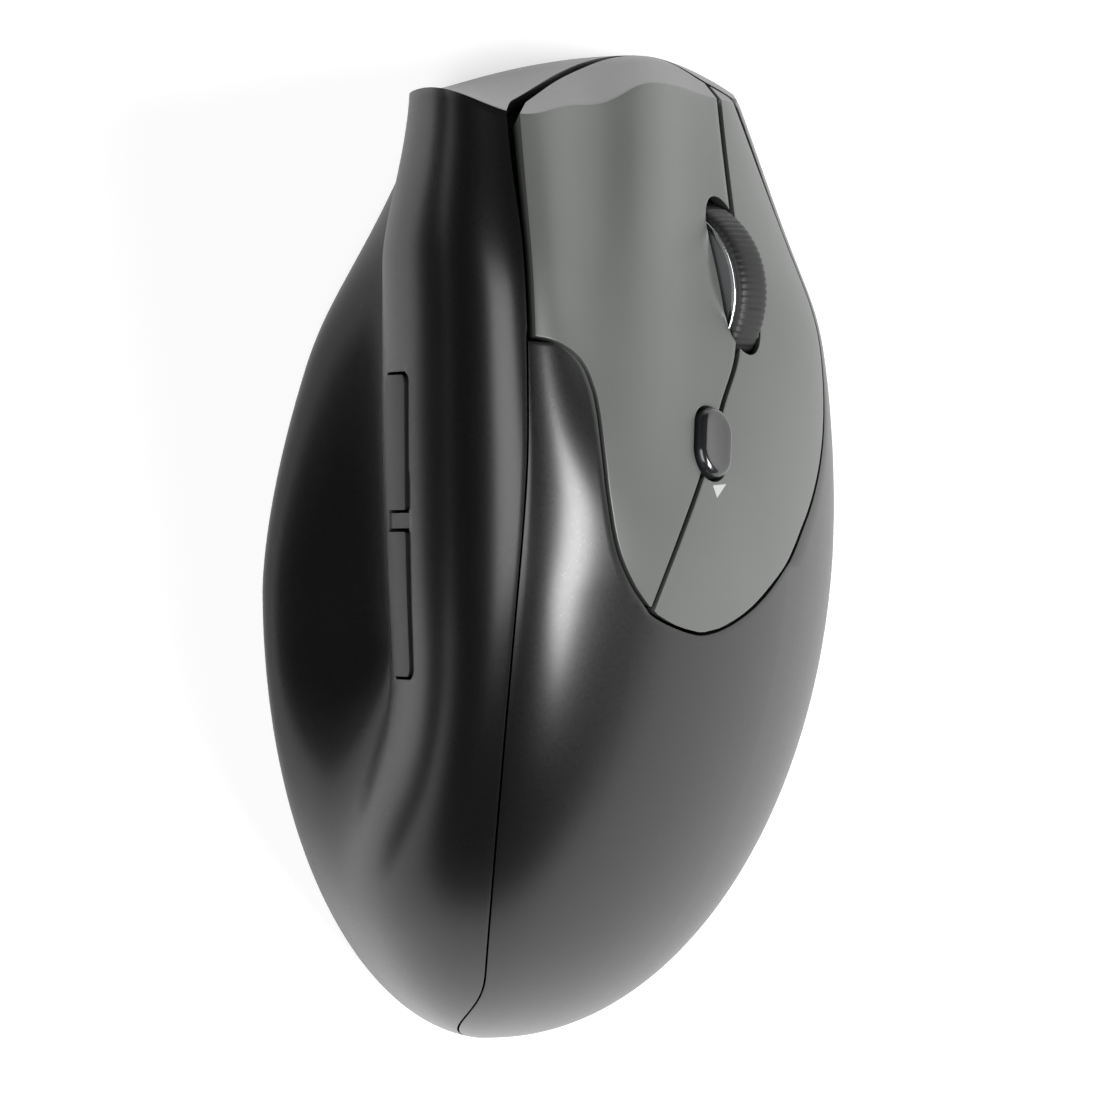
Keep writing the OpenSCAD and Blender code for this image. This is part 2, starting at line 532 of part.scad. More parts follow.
module pivot_pin() color("#a2a5a8") on_slope() translate([pin_ends[0], pivot_y, pivot_z]) rotate([0, 90, 0])
    cylinder(h = pin_ends[1] - pin_ends[0], r = pivot_r);

// Oval button in the seam behind the wheel
module oval_button() color("#161617") on_slope() translate([oval_at[0], oval_at[1], 0]) {
    rotate(oval_turn) {
        stadium(oval_w - 0.8, oval_l - 0.8, oval_h + oval_out - 0.4, oval_h + oval_out);
        stadium(oval_w, oval_l, oval_h - 2.4, oval_h + oval_out - 0.4);
    }
    translate([0, 0, tact_top]) cylinder(h = oval_h - tact_top, r = 1.6);
}

// Battery box in the base
battery_x = tail_x + 4;
battery_y = [tail_y + 14, tail_y + 14 + battery_l];
battery_z = floor_z + 0.3 + battery_r;
end_gap = 0.9;
box_x = battery_r + 0.9;
box_wall = 1.2;
box_y = [battery_y[0] - end_gap, battery_y[1] + end_gap];
box_top = battery_z + battery_r + 0.6;
knuckle_r = 0.95;
hinge_y = box_y[1] - door_gap - knuckle_r;
hinge_r = 0.6;
hinge_z = (base_z + floor_z)/2;

// Slanted deck that carries the button board, the wheel and the pivot pin
deck_x = [-18.5, 16];
deck_y = [-26.4, 19.2];
deck_screws = [[-16.6, 16.6], [12.6, 16.6], [-16.6, -23.6], [12.6, -23.6]];
gusset_x = [-15, 15];
gusset_t = 2;
box_room = 0.8;
fore_y = let (y = slope_pt(0, deck_y[1], deck_z)[1] - 0.6) [y - gusset_t, y];
rear_y = let (y = box_y[1] + box_wall + box_room) [y, y + gusset_t];
foot_hole = [[15.8, rear_y[0] - 2.4], [6, fore_y[0] - 1.2]];
// Main board between the gussets
board_x = [-9, 21];
board_y = [rear_y[1] + gusset_t, fore_y[0] - 4];
post_in = 2.5;
post_at = [[board_x[0] + post_in, board_y[0] + post_in], [board_x[1] - post_in, board_y[0] + post_in],
    [board_x[0] + post_in, board_y[1] - post_in]];
lens_at = [mix(board_x[0], board_x[1], 0.5), mix(board_y[0], board_y[1], 0.45)];
switch_at = [lens_at[0] - 10.5, lens_at[1] + 2];
main_z = floor_z + 3.8;
// Plan and height of the deck's underside where a wall at station y meets it
function deck_xz(x, y) = let (
    d = deck_z - deck_t + 0.3,
    p = slope_pt(x, (y - wheel_c[1] - d*slope_z[1])/slope_y[1], d)) [p[0], p[2]];
module gusset(y) translate([0, y[1], 0]) rotate([90, 0, 0]) linear_extrude(y[1] - y[0])
    polygon([deck_xz(gusset_x[0], y[1]), deck_xz(gusset_x[1], y[1]), [deck_xz(gusset_x[1], y[1])[0], floor_z],
        [deck_xz(gusset_x[0], y[1])[0] + 4, floor_z]]);
module button_frame() color("#34363a") difference() {
    union() {
        on_slope() {
            bar([deck_x[0], deck_y[0], deck_z - deck_t], [deck_x[1], deck_y[1], deck_z]);
            bar([pin_ends[0], pivot_y - 2.4, deck_z - deck_t], [pin_ends[1], deck_y[0] + 1, deck_z]);
            for (x = [[pin_ends[0], -25], [-18.8, -16.4], [2.8, pin_ends[1]]]) {
                bar([x[0], pivot_y - 2.2, deck_z - 0.2], [x[1], pivot_y + 2.2, pivot_z]);
                translate([x[0], pivot_y, pivot_z]) rotate([0, 90, 0]) cylinder(h = x[1] - x[0], r = 2.2);
            }
            for (p = deck_screws) translate([p[0], p[1], deck_z - 0.2])
                cylinder(h = board_z - board_t - deck_z + 0.2, r = 2.1);
            for (k = [-1, 1]) translate([0, k*guide_y, deck_z - 0.2]) cylinder(h = 10.6, r = guide_r);
        }
        gusset(rear_y);
        gusset(fore_y);
        for (k = [0, 1]) let (p = foot_hole[k], y = [rear_y, fore_y][k][0])
            bar([p[0] - 3.2, p[1] - 2.4, floor_z], [p[0] + 3.2, y + 0.5, floor_z + 4]);
    }
    on_slope() {
        bar([-4, -12.2, -30], [4, 12.2, 0]);
        for (p = deck_screws) translate([p[0], p[1], -20]) cylinder(h = 30, r = screw_r);
        translate([-40, pivot_y, pivot_z]) rotate([0, 90, 0]) cylinder(h = 80, r = pivot_r);
    }
    for (p = foot_hole) translate([p[0], p[1], 0]) cylinder(h = floor_z + 5, r = screw_r);
}
module button_board() color("#2f6b45") on_slope() difference() {
    bar([deck_x[0], deck_y[0], board_z - board_t], [deck_x[1], deck_y[1], board_z]);
    bar([-4, -12.2, -20], [4, 12.2, 0]);
    for (p = deck_screws) translate([p[0], p[1], -20]) cylinder(h = 30, r = screw_r + 0.1);
    for (k = [-1, 1]) translate([0, k*guide_y, -20]) cylinder(h = 30, r = guide_r + 0.4);
}
// Switches, each a body with a well and a plunger that moves in it
key_h = 6.5;
module key_body(p) on_slope() translate([p[0], p[1], board_z]) difference() {
    bar([-2.9, -6.4, 0], [2.9, 6.4, key_h]);
    bar([-0.9, -1.5, key_h - 1.4], [0.9, 1.5, key_h + 1]);
}
module key_plunger(p) on_slope() translate([p[0], p[1], 0])
    bar([-0.75, -1.35, board_z + key_h - 0.8], [0.75, 1.35, key_top]);
tact_h = 1.9;
tact_out = 0.6;
tact_top = board_z + tact_h + tact_out;
module tact_body() difference() {
    bar([-2.5, -2.5, 0], [2.5, 2.5, tact_h]);
    translate([0, 0, tact_h - 1.4]) cylinder(h = 2, r = 1.35);
}
module tact_plunger() translate([0, 0, tact_h - 0.8]) cylinder(h = 0.8 + tact_out, r = 1.2);
module left_switch() color("#222326") key_body(left_key);
module left_plunger() color("#d8d8d2") key_plunger(left_key);
module right_switch() color("#222326") key_body(right_key);
module right_plunger() color("#d8d8d2") key_plunger(right_key);
module oval_switch() color("#222326") on_slope() translate([oval_at[0], oval_at[1], board_z]) tact_body();
module oval_plunger() color("#b8a04a") on_slope() translate([oval_at[0], oval_at[1], board_z]) tact_plunger();
wheel_key = [5.4, 14.6];
module wheel_switch() color("#222326") on_slope() translate([wheel_key[0], wheel_key[1], board_z])
    difference() {
        bar([-2, -2.2, 0], [2, 2.2, 1.7]);
        translate([0, 0, 0.5]) cylinder(h = 2, r = 1.05);
    }
module wheel_plunger() color("#b8a04a") on_slope() translate([wheel_key[0], wheel_key[1], board_z + 1])
    cylinder(h = -2.2 - board_z - 1, r = 0.9);
module wheel_emitter() color("#d9d4c4") on_slope() bar([-6.4, -8, board_z], [-4, -3.6, board_z + 5]);
module wheel_receiver() color("#1d1d20") on_slope() bar([4, -8, board_z], [6.4, -3.6, board_z + 5]);

// Thumb buttons and their board
thumb_ym = (slot_y0 + slot_y1)/2;
thumb_vm = (v_slot[0] + v_slot[1])/2;
thumb_c = skin(thumb_ym, thumb_vm);
thumb_n = skin_n(thumb_ym, thumb_vm);
thumb_lean = 90 - atan2(thumb_n[2], -thumb_n[0]);
thumb_z = [-sin(thumb_lean), 0, cos(thumb_lean)];
module on_wall() translate(thumb_c) rotate([0, -thumb_lean, 0]) children();
function wall_h(y) = (skin(y, thumb_vm) - thumb_c)*thumb_z;
side_z = -8.6;
side_y = [-20.6, 25.4];
fore_key = (slot_ym + slot_y1)/2;
back_key = (slot_ym + slot_y0)/2;
side_top = side_z + tact_h + tact_out;
thumb_key_rows = 6;
module thumb_key(y) key_patch(y, v_slot + [1, -1]*thumb_gap/10, thumb_out, wall + 0.4);
module thumb_stem(y) on_wall() translate([0, y - thumb_c[1], side_top])
    cylinder(h = wall_h(y) - side_top - 1, r = 1.6);
module forward_button() color("#19191a") {
    thumb_key([slot_ym + divider_w/2 + thumb_gap, slot_y1 - thumb_gap]);
    thumb_stem(fore_key);
}
module back_button() color("#19191a") {
    thumb_key([slot_y0 + thumb_gap, slot_ym - divider_w/2 - thumb_gap]);
    thumb_stem(back_key);
}
module side_board() color("#2f6b45") on_wall() difference() {
    bar([-6, side_y[0] - 3 - thumb_c[1], side_z - board_t], [6, side_y[1] + 3 - thumb_c[1], side_z]);
    for (y = side_y) translate([0, y - thumb_c[1], side_z - 5]) cylinder(h = 10, r = screw_r + 0.1);
}
module forward_switch() color("#222326") on_wall() translate([0, fore_key - thumb_c[1], side_z]) tact_body();
module forward_plunger() color("#b8a04a") on_wall() translate([0, fore_key - thumb_c[1], side_z])
    tact_plunger();
module back_switch() color("#222326") on_wall() translate([0, back_key - thumb_c[1], side_z]) tact_body();
module back_plunger() color("#b8a04a") on_wall() translate([0, back_key - thumb_c[1], side_z]) tact_plunger();

// Shells with their screw bosses
wing_boss = [[-27, 0], [-19.6, 31.4]];
palm_boss_y = [-36, -8, 34];
function palm_boss_x(y) = skin(y, v_end)[0] - 0.8 - boss_r;
palm_boss = [for (y = palm_boss_y) [palm_boss_x(y), y]];
boss_h = 6;
module thumb_shell() color("#1c1c1d") difference() {
    union() {
        thumb_body();
        for (p = wing_boss) {
            translate([p[0], p[1], floor_z]) cylinder(h = boss_h, r = boss_r);
            bar([skin(p[1], 1.2)[0] + 0.6*wall, p[1] - 1, floor_z + 2], [p[0], p[1] + 1, floor_z + boss_h]);
        }
        for (y = side_y) on_wall() translate([0, y - thumb_c[1], side_z])
            cylinder(h = wall_h(y) - 0.5*wall - side_z, r = 2.1);
    }
    for (p = wing_boss) translate([p[0], p[1], 0]) cylinder(h = floor_z + 5, r = screw_r + 0.02);
    for (y = side_y) on_wall() translate([0, y - thumb_c[1], side_z - 1]) cylinder(h = 4.6, r = screw_r);
}
module palm_shell() color("#1c1c1d") difference() {
    union() {
        palm_body();
        for (p = palm_boss) {
            translate([p[0], p[1], floor_z]) cylinder(h = boss_h, r = boss_r);
            bar([p[0], p[1] - 1, floor_z + 2], [skin(p[1], 14.2)[0] - 0.6*wall, p[1] + 1, floor_z + boss_h]);
        }
    }
    for (p = palm_boss) translate([p[0], p[1], 0]) cylinder(h = floor_z + 5, r = screw_r + 0.02);
}

// Base plate with the battery box
function rim_in(v, y, d) = let (p = skin(y, v), n = flat(skin_n(y, v))) [p[0] - d*n[0], p[1] - d*n[1]];
function rim_corner(v, d) = let (p = corner(v, d)) [p[0], p[1]];
function plate_line(d) = concat(
    [for (i = [0:24]) rim_in(0, tail_row(4 + 84*i/24), d)],
    [rim_corner(0, d)],
    [for (t = [0.25, 0.5, 0.75]) let (a = skin(nose_y, 0), b = skin(nose_y, v_end), x = mix(a[0], b[0], t))
        [x, front_y(x, rim_z) - d]],
    [rim_corner(v_end, d)],
    [for (i = [24:-1:0]) rim_in(v_end, tail_row(4 + 84*i/24), d)]);
base_screw_at = concat(wing_boss, palm_boss, foot_hole);
module base_plate() color("#262728") difference() {
    union() {
        translate([0, 0, base_z]) linear_extrude(flange_t) polygon(plate_line(0.3));
        translate([0, 0, rim_z]) linear_extrude(step_t) polygon(plate_line(wall + 0.6));
        bar([battery_x - box_x - box_wall, box_y[0] - box_wall, rim_z],
            [battery_x + box_x + box_wall, box_y[1] + box_wall, box_top + box_wall]);
        for (p = post_at) translate([p[0], p[1], rim_z]) cylinder(h = main_z - rim_z, r = boss_r);
    }
    bar([battery_x - box_x, box_y[0], 0], [battery_x + box_x, box_y[1], box_top]);
    translate([battery_x, hinge_y, hinge_z]) rotate([0, 90, 0])
        cylinder(h = 2*box_x + 2.4, r = hinge_r + run_gap, center = true);
    for (p = base_screw_at) translate([p[0], p[1], 0]) {
        cylinder(h = 10, r = screw_r + 0.15);
        translate([0, 0, base_z - 1]) cylinder(h = head_t + 1.15, r = head_r + 0.2);
    }
    for (p = post_at) translate([p[0], p[1], floor_z]) cylinder(h = 10, r = screw_r);
    translate([lens_at[0], lens_at[1], 0]) cylinder(h = 10, r = 4.6);
    bar([switch_at[0] - 4.2, switch_at[1] - 2, 0], [switch_at[0] + 4.2, switch_at[1] + 2, floor_z + 1]);
    foot_shapes(base_z + foot_t - foot_out);
}
module battery_door() color("#262728") {
    difference() {
        bar([battery_x - box_x + door_gap, box_y[0] + door_gap, base_z],
            [battery_x + box_x - door_gap, hinge_y, floor_z - 0.1]);
        for (i = [0:2]) bar([battery_x - 3, box_y[0] + 6 + 2*i, base_z - 1],
            [battery_x + 3, box_y[0] + 6.9 + 2*i, base_z + 0.4]);
    }
    translate([battery_x, hinge_y, hinge_z]) rotate([0, 90, 0]) {
        cylinder(h = 2*(box_x - door_gap), r = knuckle_r, center = true);
        cylinder(h = 2*box_x + 2, r = hinge_r, center = true);
    }
}
module battery() color("#b8862f") translate([battery_x, battery_y[0], battery_z]) rotate([-90, 0, 0]) {
    cylinder(h = battery_l - 1, r = battery_r);
    cylinder(h = battery_l, r = 2.7);
}
module battery_contacts() color("#c8c9c4") {
    for (k = [0, 1]) let (w = box_y[k], e = battery_y[k], t = k == 0 ? 1 : -1) {
        bar([battery_x - 4, min(w, w + 0.4*t), battery_z - 4],
            [battery_x + 4, max(w, w + 0.4*t), battery_z + 4]);
        translate([battery_x, min(w, e), battery_z]) rotate([-90, 0, 0]) cylinder(h = end_gap, r = 2);
    }
}
module foot_shapes(top) {
    translate([3.5, 50.6, 0]) rotate(90) stadium(4, 20, 0, top);
    translate([-5, -54.6, 0]) rotate(90) stadium(4, 18, 0, top);
    translate([-24.6, -14, 0]) rotate(-4) stadium(4, 14, 0, top);
    translate([26, -22, 0]) rotate(-14) stadium(4, 14, 0, top);
}
module glide_feet() color("#101011") foot_shapes(foot_t);
module base_screw() difference() {
    union() {
        cylinder(h = head_t, r = head_r);
        cylinder(h = floor_z + 3.4 - base_z, r = screw_r);
    }
    for (a = [0, 90]) rotate(a) bar([-1.1, -0.25, -1], [1.1, 0.25, 0.5]);
}
module base_screws() color("#8d9093") for (p = base_screw_at)
    translate([p[0], p[1], base_z + 0.15]) base_screw();
module board_screw() {
    cylinder(h = head_t, r = head_r);
    translate([0, 0, -3]) cylinder(h = 3.5, r = screw_r);
}
module board_screws() color("#8d9093") {
    for (p = deck_screws) on_slope() translate([p[0], p[1], board_z]) board_screw();
    for (p = post_at) translate([p[0], p[1], main_z + board_t]) board_screw();
    for (y = side_y) on_wall() translate([0, y - thumb_c[1], side_z - board_t]) rotate([180, 0, 0])
        board_screw();
}
// Main board with the sensor
module main_board() color("#2f6b45") difference() {
    bar([board_x[0], board_y[0], main_z], [board_x[1], board_y[1], main_z + board_t]);
    translate([lens_at[0], lens_at[1], 0]) cylinder(h = 20, r = 2.6);
    for (p = post_at) translate([p[0], p[1], 0]) cylinder(h = 20, r = screw_r + 0.1);
}
module sensor_lens() color("#dfe6ea") translate([lens_at[0], lens_at[1], 0]) {
    translate([0, 0, base_z + 0.6]) cylinder(h = floor_z - base_z, r = 4.3);
    bar([-5.2, -6, floor_z], [5.2, 6, main_z]);
}
module sensor_chip() color("#151517") translate([lens_at[0], lens_at[1], 0])
    bar([-4.9, -6.2, main_z + board_t], [4.9, 6.2, main_z + board_t + 2.8]);
module sensor_lamp() color("#b5322b") translate([lens_at[0] + 9.6, lens_at[1], main_z + board_t]) {
    bar([-0.6, -2, 0], [0.6, 2, 3.8]);
    translate([0, 0, 2]) rotate([0, -90, 0]) cylinder(h = 3.6, r = 1.5);
}
// Flat cable from the button board, and the chip in front of where it lands
cable_w = 5;
cable_y = let (y = slope_pt(-20.4, -4.3, board_z)[1]) [y - cable_w/2, y + cable_w/2];
chip_s = 6;
part_gap = 1;
module control_chip() color("#151517")
    translate([lens_at[0] - 9.6, cable_y[1] + part_gap + chip_s/2, main_z + board_t])
    bar([-chip_s/2, -chip_s/2, 0], [chip_s/2, chip_s/2, 1]);
// Capacitor in front of the sensor, as far out as the slanted deck leaves room above it
can_h = 4;
can_r = 2;
can_y = lens_at[1] + 6.2 + part_gap + can_r;
can_x = let (
    a = deck_xz(gusset_x[0], can_y),
    b = deck_xz(gusset_x[1], can_y),
    z = main_z + board_t + can_h + part_gap)
    mix(a[0], b[0], (z - a[1])/(b[1] - a[1])) - can_r - part_gap;
module capacitor() color("#3b4d7a") translate([can_x, can_y, main_z + board_t])
    cylinder(h = can_h, r = can_r);
slide_l = 3;
module power_switch() color("#8e9194") translate([switch_at[0], switch_at[1], 0])
    bar([-4, -1.8, floor_z + 0.3], [4, 1.8, main_z]);
module power_slider() color("#b9bbbc") translate([switch_at[0] - slide_l/2, switch_at[1], 0]) difference() {
    bar([-2.4, -1.7, base_z + 0.2], [2.4, 1.7, floor_z + 0.2]);
    for (i = [-1:1]) bar([i*1.2 - 0.25, -3, 0], [i*1.2 + 0.25, 3, base_z + 0.5]);
}
// Flat cables
module strip(line, y, t) {
    n = len(line) - 1;
    function turn(i) = let (d = unit(line[min(n, i + 1)] - line[max(0, i - 1)])) [-d[1], d[0]];
    translate([0, y[1], 0]) rotate([90, 0, 0]) linear_extrude(y[1] - y[0])
        polygon(concat(line, [for (i = [n:-1:0]) line[i] + t*turn(i)]));
}
function slope_xz(x, y, z) = let (p = slope_pt(x, y, z)) [p[0], p[2]];
function wall_xz(x, z) = let (p = thumb_c + x*[cos(thumb_lean), 0, sin(thumb_lean)] + z*thumb_z) [p[0], p[2]];
module button_cable() color("#c9c4b4") {
    on_slope() bar([-20.6, -8, board_z], [-15.6, -1, board_z + 0.3]);
    strip([slope_xz(-20.4, -3, board_z + 0.15), slope_xz(-22.6, -3, board_z - 1.4), [-7.4, 36], [-7.4, 12],
        [-6.6, main_z + board_t + 0.9], [-5.4, main_z + board_t + 0.02], [-4, main_z + board_t]],
        cable_y, 0.3);
}
module side_cable() color("#c9c4b4") strip([wall_xz(0, side_z - board_t), wall_xz(-7, side_z - board_t),
    [-10.4, 30], [-10.4, 12], [-9.6, main_z + board_t + 0.9],
    [-8.4, main_z + board_t + 0.02], [-6.6, main_z + board_t]], [15.8, 20.8], 0.3);

base_plate();
thumb_shell();
palm_shell();
left_button();
right_button();
forward_button();
back_button();
oval_button();
wheel_tyre();
wheel_hub();
wheel_rings();
wheel_axle();
wheel_carrier();
pivot_pin();
button_frame();
button_board();
left_switch();
left_plunger();
right_switch();
right_plunger();
wheel_switch();
wheel_plunger();
oval_switch();
oval_plunger();
wheel_emitter();
wheel_receiver();
side_board();
forward_switch();
forward_plunger();
back_switch();
back_plunger();
main_board();
sensor_lens();
sensor_chip();
sensor_lamp();
control_chip();
capacitor();
power_switch();
power_slider();
battery();
battery_contacts();
battery_door();
glide_feet();
base_screws();
board_screws();
button_cable();
side_cable();
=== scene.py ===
import bpy
import json
import math
import numpy as np
from mathutils import Matrix, Vector


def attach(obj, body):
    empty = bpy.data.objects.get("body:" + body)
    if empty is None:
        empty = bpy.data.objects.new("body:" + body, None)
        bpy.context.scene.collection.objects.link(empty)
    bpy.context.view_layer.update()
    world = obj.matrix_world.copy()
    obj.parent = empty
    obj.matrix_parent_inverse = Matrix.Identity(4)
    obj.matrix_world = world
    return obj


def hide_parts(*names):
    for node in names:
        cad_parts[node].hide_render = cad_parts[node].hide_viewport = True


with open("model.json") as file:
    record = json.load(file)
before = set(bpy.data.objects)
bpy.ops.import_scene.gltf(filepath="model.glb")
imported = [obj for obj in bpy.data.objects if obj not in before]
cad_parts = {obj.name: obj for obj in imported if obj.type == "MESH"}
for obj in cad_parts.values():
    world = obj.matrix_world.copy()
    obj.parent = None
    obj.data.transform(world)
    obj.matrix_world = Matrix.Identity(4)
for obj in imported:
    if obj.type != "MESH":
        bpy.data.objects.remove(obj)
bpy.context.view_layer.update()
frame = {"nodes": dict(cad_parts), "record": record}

mm = 0.001
print("frame loaded:", len(frame["nodes"]), "nodes")

# small helpers

def deselectAll():
    if bpy.context.mode != "OBJECT":
        bpy.ops.object.mode_set(mode="OBJECT")
    bpy.ops.object.select_all(action="DESELECT")


def makeActive(piece):
    deselectAll()
    piece.select_set(True)
    bpy.context.view_layer.objects.active = piece


def applyModifier(piece, kind, **settings):
    makeActive(piece)
    modifier = piece.modifiers.new(kind.lower(), kind)
    for key, value in settings.items():
        setattr(modifier, key, value)
    bpy.ops.object.modifier_apply(modifier=modifier.name)


def smoothByAngle(piece, degrees):
    makeActive(piece)
    bpy.ops.object.shade_smooth_by_angle(angle=math.radians(degrees))


def roundEdges(piece, width, segments=2, angle=35):
    applyModifier(piece, "BEVEL", width=width * mm, segments=segments, limit_method="ANGLE",
                  angle_limit=math.radians(angle), use_clamp_overlap=True, harden_normals=False)


def cutWith(piece, cutter):
    applyModifier(piece, "BOOLEAN", operation="DIFFERENCE", object=cutter, solver="EXACT")


def dropPiece(piece):
    bpy.data.objects.remove(piece, do_unlink=True)


def selectFaces(piece, picked):
    makeActive(piece)
    bpy.ops.object.mode_set(mode="EDIT")
    bpy.ops.mesh.select_mode(type="FACE")
    bpy.ops.mesh.select_all(action="DESELECT")
    bpy.ops.object.mode_set(mode="OBJECT")
    for polygon in piece.data.polygons:
        polygon.select = bool(picked(polygon))
    bpy.ops.object.mode_set(mode="EDIT")


def gridPiece(name, points):
    # a grid primitive whose points are laid on a form; points run [row][column] in millimetres
    rows, columns = points.shape[:2]
    deselectAll()
    bpy.ops.mesh.primitive_grid_add(x_subdivisions=columns - 1, y_subdivisions=rows - 1, size=0.1)
    piece = bpy.context.active_object
    piece.name = name
    piece.data.vertices.foreach_set("co", (points.reshape(-1) * mm).astype(np.float32))
    piece.data.update()
    return piece


def thicken(piece, wall):
    applyModifier(piece, "SOLIDIFY", thickness=wall * mm, offset=-1, use_even_offset=False,
                  use_quality_normals=True, use_rim=True)


def thickenShell(piece, wall):
    # as above, with the inner side drawn straight forward where the shell closes at the tail
    thicken(piece, wall)
    co = np.empty(len(piece.data.vertices) * 3, np.float32)
    piece.data.vertices.foreach_get("co", co)
    outer, inner = np.split(co.reshape(-1, 3), 2)
    near = ease((outer[:, 1:2] / mm - tailY - 0.5) / 3.5)
    inner = mix(outer + np.array([0, wall * mm, 0]), inner, near)
    piece.data.vertices.foreach_set("co", np.concatenate([outer, inner]).reshape(-1).astype(np.float32))
    piece.data.update()


def finishPiece(piece, body, slot, material, *nodes):
    piece.data.materials.clear()
    piece.data.materials.append(material)
    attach(piece, body)
    if nodes:
        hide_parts(*nodes)
    deselectAll()


# body form, the same rules as the part, in millimetres

bodyForm = {
    "length": 119.94, "width": 69.7, "sideLead": 14.0, "height": 65.95, "wall": 2.0,
    "wingY": -5.0, "fingerY": 5.0, "crestY": 18.0, "restZ": 16.0, "grooveZ": 23.5,
    "thumbReach": 12.4, "rimZ": 1.8, "vEnd": 15.0, "vSide": 13.0,
    "buttonGap": 0.6, "seamGap": 0.25, "crestGap": 1.0, "panelY": 25.2, "tailAngle": 0.6,
}
tailY = -bodyForm["length"] / 2
noseY = bodyForm["length"] / 2
tailX = -bodyForm["sideLead"] / 2
wing = bodyForm["width"] / 2 - bodyForm["sideLead"] / 2
reach = bodyForm["width"] / 2 + bodyForm["sideLead"] / 2
rimZ = bodyForm["rimZ"]
vEnd = bodyForm["vEnd"]
vSide = bodyForm["vSide"]


def mix(a, b, t):
    return a + (b - a) * t


def ease(t):
    s = np.clip(t, 0, 1)
    return s * s * (3 - 2 * s)


def bell(x, centre, width):
    return np.exp(-((x - centre) / width) ** 2)


def arch(y, centre, back, front):
    r = np.where(y < centre, (centre - y) / back, (y - centre) / front)
    return np.sqrt(np.clip(1 - r * r, 0, None))


def wingArch(y):
    wingY = bodyForm["wingY"]
    ahead = np.clip((y - wingY) / (noseY - wingY), 0, None)
    return np.where(y < wingY, arch(y, wingY, wingY - tailY, 1e6), 1 - 0.77 * ahead ** 1.6)


def crestX(y):
    s = np.clip(14 - y, 0, None)
    return tailX + 4.8 - 1.5 * (np.clip(y - 14, 0, None) / 40) ** 2 - 0.08 * s * (1 - np.exp(-s / 12))


def sectionPoints(y):
    # control points of one cross section, wing rim to finger rim
    f = bodyForm
    hc = arch(y, f["crestY"], f["crestY"] - tailY, 86)
    hs = arch(y, f["crestY"], f["crestY"] - tailY, 300)
    gr = arch(y, f["fingerY"], f["fingerY"] - tailY, 79)
    xc = crestX(y)
    xt = tailX - f["thumbReach"] * hs * (1 - 0.26 * ease((y - 36) / 26))
    xg = xt + 2.4
    xw = -np.logaddexp(-1.2 * (tailX - wing * wingArch(y)), -1.2 * (xt + 1.5)) / 1.2
    xr = tailX + reach * gr
    zc = rimZ + (f["height"] - rimZ) * hc
    zt = rimZ + (44 - rimZ) * hs
    zb = rimZ + (17 - rimZ) * hs
    g = ease((y + 46) / 36)
    k = ease((y + 5) / 35)
    waist = [(xw + 2.4 * hs, rimZ + 0 * y), (xw + 0.1, rimZ + 2.2 * hs), (xw - 0.5, rimZ + 7.2 * hs),
             (mix(xw, xg, 0.42), rimZ + (f["restZ"] - rimZ) * hs),
             (xg + 0.4, rimZ + (f["grooveZ"] - rimZ) * hs), (xt - 0.5, rimZ + (33 - rimZ) * hs),
             (xt - 0.3, zt), (mix(xt, xc, 0.27), mix(zt, zc, 0.7)), (mix(xt, xc, 0.74), zc + 0.6 * hs)]
    roundT = [0, -0.01, 0, 0.05, 0.14, 0.28, 0.46, 0.68, 0.9]
    roundZ = [0, 0.05, 0.2, 0.39, 0.58, 0.76, 0.9, 0.99, 1.02]
    points = []
    for i in range(9):
        x = xw + 2.4 * hs if i == 0 else mix(xw, xc, roundT[i])
        points.append((mix(x, waist[i][0], g), mix(mix(rimZ, zc, roundZ[i]), waist[i][1], g)))
    for t, b, a in zip([0.1, 0.31, 0.61, 0.87], [1.02, 0.93, 0.69, 0.33], [1, 0.81, 0.5, 0.21]):
        points.append((mix(xc, xr, t), mix(zb, zc, mix(b, a, k))))
    points += [(xr + 0.8 * gr, rimZ + 13.2 * hs), (xr - 0.2 * gr, rimZ + 4.2 * hs)]
    points += [(xr - 3.2 * gr, rimZ + 0 * y)]
    return np.array([p[0] for p in points]), np.array([p[1] for p in points])


def bodySection(y, v):
    y, v = np.broadcast_arrays(np.asarray(y, float), np.asarray(v, float))
    xs, zs = sectionPoints(y)
    last = len(xs) - 1
    k = np.clip(np.floor(v), 0, last - 1).astype(int)
    t = v - k
    weights = [(1 - t) ** 3, 3 * t ** 3 - 6 * t * t + 4, -3 * t ** 3 + 3 * t * t + 3 * t + 1, t ** 3]
    found = []
    for p in (xs, zs):
        p = np.concatenate([[2 * p[0] - p[1]], p, [2 * p[-1] - p[-2]]])
        found.append(sum(w * np.take_along_axis(p, (k + i)[None], 0)[0] for i, w in enumerate(weights)) / 6)
    x, z = found
    # shallow dishes for the fingers
    dish = (-1.1 * bell(x, 5, 4.5) + 0.5 * bell(x, 12, 4) - 0.7 * bell(x, 18, 4.5)) \
        * ease((y - 4) / 30) * ease((z - 15) / 10)
    return x + 0.79 * dish, z + 0.61 * dish


def frontY(x, z):
    # front face, leaning back toward the crest
    h = np.clip(z - 16 + 12 * ease((x - 10) / 10), 0, None)
    lean = np.where(h < 10, h * h / 20, h - 5)
    return noseY - np.where(x < 11, 0.0074, 0.03) * (x - 11) ** 2 \
        - lean * (0.22 * ease((x + 18) / 18) + 0.07 * bell(x, 7, 4))


def bodyPoint(y, v):
    x, z = bodySection(y, v)
    y = np.broadcast_to(np.asarray(y, float), x.shape)
    return np.stack([x, y - (noseY - frontY(x, z)) * ease((y - 22) / (noseY - 22)), z], -1)


